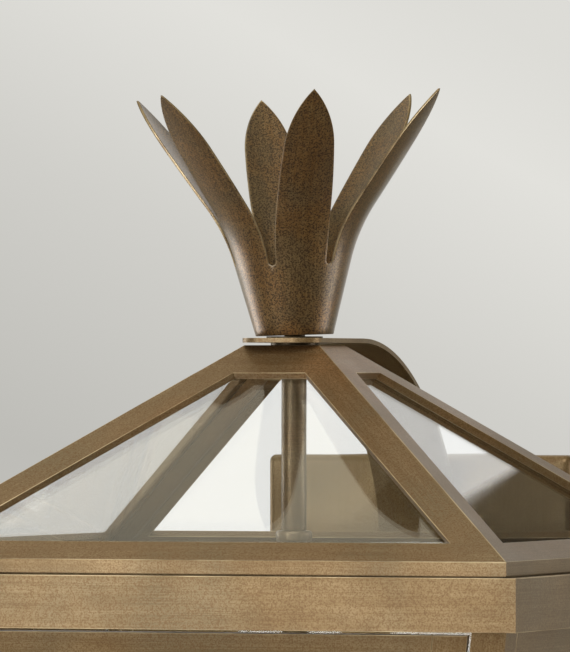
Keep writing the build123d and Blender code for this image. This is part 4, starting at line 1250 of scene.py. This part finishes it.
class LANTERN_OT_stage(bpy.types.Operator):
    """Floor, lamps, backdrop and camera"""
    bl_idname = "lantern.stage"
    bl_label = "Stage"

    def execute(self, context):
        stage = settings()[2]
        scene = context.scene
        scene.view_settings.view_transform = "Standard"
        self.floor(stage)
        self.backdrop(scene, stage)
        self.shade_card()
        self.lamp("overhead", (-0.4, axis_y + 0.5, 1.5), (0.0, axis_y, 0.0), 1.5, 0.8, "#fff6e0")
        self.lamp("front_left", (-1.15, -3.05, 0.3), (0.0, axis_y, 0.1), 1.5, 4.4)
        self.lamp("front_high", (0.1, -1.0, 0.95), (0.0, axis_y, 0.15), 0.7, 5.5)
        self.lamp("left", (-2.2, 0.35, 0.0), (0.0, axis_y, 0.2), 1.2, 3.4)
        self.lamp("right", (2.3, 0.8, -0.1), (0.0, axis_y, 0.2), 1.2, 3.4)
        self.camera(scene, stage)
        return {"FINISHED"}

    def floor(self, stage):
        half, z = 4.0, -stage.floor_drop
        corners = [(-half, -half, z), (half, -half, z), (half, half, z), (-half, half, z)]
        # Matt floor paint: even, with a tone that barely changes over a few centimetres.
        paint = plain_finish("floor_paint", tuple(stage.floor), 0.0, 0.8, 40.0, 0.02)
        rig.stage(self.sheet("floor", corners, paint))

    def sheet(self, name, corners, material):
        """Flat four-cornered sheet."""
        mesh = bpy.data.meshes.new(name)
        mesh.from_pydata(corners, [], [(0, 1, 2, 3)])
        mesh.materials.append(material)
        return new_object(name, mesh)

    def shade_card(self):
        """Dark card behind the lantern, seen only as the dark half of the right pane's reflection."""
        left, right, far = -0.02, 0.11, axis_y + 0.9
        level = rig.box("apex_plate")[1].z + 0.2017
        low, high = level - 0.09, level + 0.08
        # The card is solid right of a slanting line, with a soft edge.
        line_x, slope, soft = 0.0162, 0.188, 0.003
        edge = line_x - slope * level
        # Black card in dim light: even and without shine, so it gives off one dark grey.
        material, tree = new_material("black_card")
        place = add_node(tree, "ShaderNodeTexCoord").outputs["Object"]
        line = add_node(tree, "ShaderNodeVectorMath", {0: place, 1: (1.0, 0.0, -slope)},
                        operation="DOT_PRODUCT").outputs["Value"]
        share = add_node(tree, "ShaderNodeMapRange", {"Value": line, "From Min": edge + soft,
                                                      "From Max": edge - soft}).outputs["Result"]
        dark = add_node(tree, "ShaderNodeEmission", {"Color": linear("#2c2a26", 1.0)})
        clear = add_node(tree, "ShaderNodeBsdfTransparent")
        mixed = add_node(tree, "ShaderNodeMixShader", {0: share, 1: dark.outputs[0], 2: clear.outputs[0]})
        add_node(tree, "ShaderNodeOutputMaterial", {"Surface": mixed.outputs[0]})
        corners = [(left, far, low), (right, far, low), (right, far, high), (left, far, high)]
        card = self.sheet("shade_card", corners, material)
        card.visible_camera = card.visible_diffuse = card.visible_shadow = False
        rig.stage(card)

    def lamp(self, name, place, aim, size, radiance, tint="#ffffff"):
        """Square lamp that looks equally bright from any distance; its size is in metres."""
        light = bpy.data.lights.new(name, "AREA")
        light.color = linear(tint)
        light.shape = "SQUARE"
        light.size = size
        light.energy = radiance * math.pi * size ** 2
        lamp = bpy.data.objects.new(name, light)
        lamp.location = place
        lamp.rotation_euler = (Vector(place) - Vector(aim)).to_track_quat("Z", "Y").to_euler()
        lamp.visible_camera = False
        bpy.context.scene.collection.objects.link(lamp)

    def backdrop(self, scene, stage):
        """Grey wall seen by the camera, and the room that the metal and the glass reflect."""
        world = bpy.data.worlds.new("backdrop")
        scene.world = world
        world.use_nodes = True
        tree = world.node_tree
        tree.nodes.clear()
        way = add_node(tree, "ShaderNodeTexCoord").outputs["Generated"]
        right = Vector((math.cos(stage.azimuth), math.sin(stage.azimuth), 0.0))
        rising = (right * 0.47 + Vector((0.0, 0.0, 0.88))).normalized()
        height = add_node(tree, "ShaderNodeVectorMath", {0: way, 1: rising}, operation="DOT_PRODUCT")
        share = add_node(tree, "ShaderNodeMapRange", {"Value": height.outputs["Value"], "From Min": -0.021,
                                                      "From Max": 0.0473}).outputs["Result"]
        ramp = add_node(tree, "ShaderNodeValToRGB", {"Fac": share})
        stops = ramp.color_ramp.elements
        stops[0].position, stops[0].color = 0.0, linear("#bebdb8", 1.0)
        stops[1].position, stops[1].color = 0.8, linear("#e2e1dc", 1.0)
        stops.new(0.43).color = linear("#d0cfca", 1.0)
        stops.new(1.0).color = linear("#dddcd7", 1.0)
        ray = add_node(tree, "ShaderNodeLightPath").outputs
        up = add_node(tree, "ShaderNodeSeparateXYZ", {"Vector": way}).outputs["Z"]
        back = add_node(tree, "ShaderNodeVectorMath", {0: way, 1: (-0.2, 0.93, 0.3)},
                        operation="DOT_PRODUCT").outputs["Value"]
        room = laid_over(tree, linear("#b2aea0"), linear("#918c78"), up, -0.1, 0.6)
        room = laid_over(tree, room, linear("#efeeea"), back, 0.8, 0.97)
        through = laid_over(tree, (1.03, 1.03, 1.05), linear("#8f8a74"), up, 0.4, 0.75)
        seen = laid_over(tree, room, through, ray["Is Transmission Ray"])
        seen = laid_over(tree, seen, ramp.outputs["Color"], ray["Is Camera Ray"])
        light = add_node(tree, "ShaderNodeBackground", {"Color": seen, "Strength": 1.0})
        add_node(tree, "ShaderNodeOutputWorld", {"Surface": light.outputs["Background"]})

    def camera(self, scene, stage):
        data = bpy.data.cameras.new("camera")
        data.sensor_fit = "HORIZONTAL"
        data.sensor_width = 36.0
        data.lens = stage.lens
        data.clip_end = 100.0
        camera = bpy.data.objects.new("camera", data)
        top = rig.box("apex_plate")[1].z
        shift_left = 4.7 * MM
        camera.location = (stage.distance * math.sin(stage.azimuth) - shift_left,
                           axis_y - stage.distance * math.cos(stage.azimuth), top - stage.aim_drop)
        camera.rotation_euler = (math.pi / 2 + stage.pitch, 0.0, stage.azimuth)
        scene.collection.objects.link(camera)
        scene.camera = camera


PIECES = (LANTERN_OT_crown, LANTERN_OT_strap, LANTERN_OT_roof, LANTERN_OT_glass, LANTERN_OT_body,
          LANTERN_OT_door, LANTERN_OT_stem, LANTERN_OT_candles, LANTERN_OT_bulbs, LANTERN_OT_wall_plate,
          LANTERN_OT_cap_nuts, LANTERN_OT_stage)
GROUPS = (("lantern_sizes", LanternSizes), ("lantern_colours", LanternColours),
          ("lantern_stage", LanternStage))


class LANTERN_PT_panel(bpy.types.Panel):
    """Buttons that make the lantern's pieces"""
    bl_idname = "LANTERN_PT_panel"
    bl_label = "Wall lantern"
    bl_space_type = "VIEW_3D"
    bl_region_type = "UI"
    bl_category = "Lantern"

    def draw(self, context):
        for operator in PIECES:
            self.layout.operator(operator.bl_idname)
        for group, kind in GROUPS:
            box = self.layout.box()
            for name in kind.__annotations__:
                box.prop(getattr(context.scene, group), name)


def register():
    for name, group in GROUPS:
        bpy.utils.register_class(group)
        setattr(bpy.types.Scene, name, PointerProperty(type=group))
    for item in PIECES + (LANTERN_PT_panel,):
        bpy.utils.register_class(item)


def unregister():
    for item in (LANTERN_PT_panel,) + PIECES[::-1]:
        bpy.utils.unregister_class(item)
    for name, group in GROUPS[::-1]:
        delattr(bpy.types.Scene, name)
        bpy.utils.unregister_class(group)


def main():
    register()
    for operator in PIECES:
        group, name = operator.bl_idname.split(".")
        getattr(getattr(bpy.ops, group), name)()
    boxes = {"cad": [list(corner) for corner in cad_box], "visual": [list(corner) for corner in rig.bounds()]}
    with open("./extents.json", "w") as f:
        json.dump(boxes, f, indent=1)


if __name__ == "__main__":
    main()
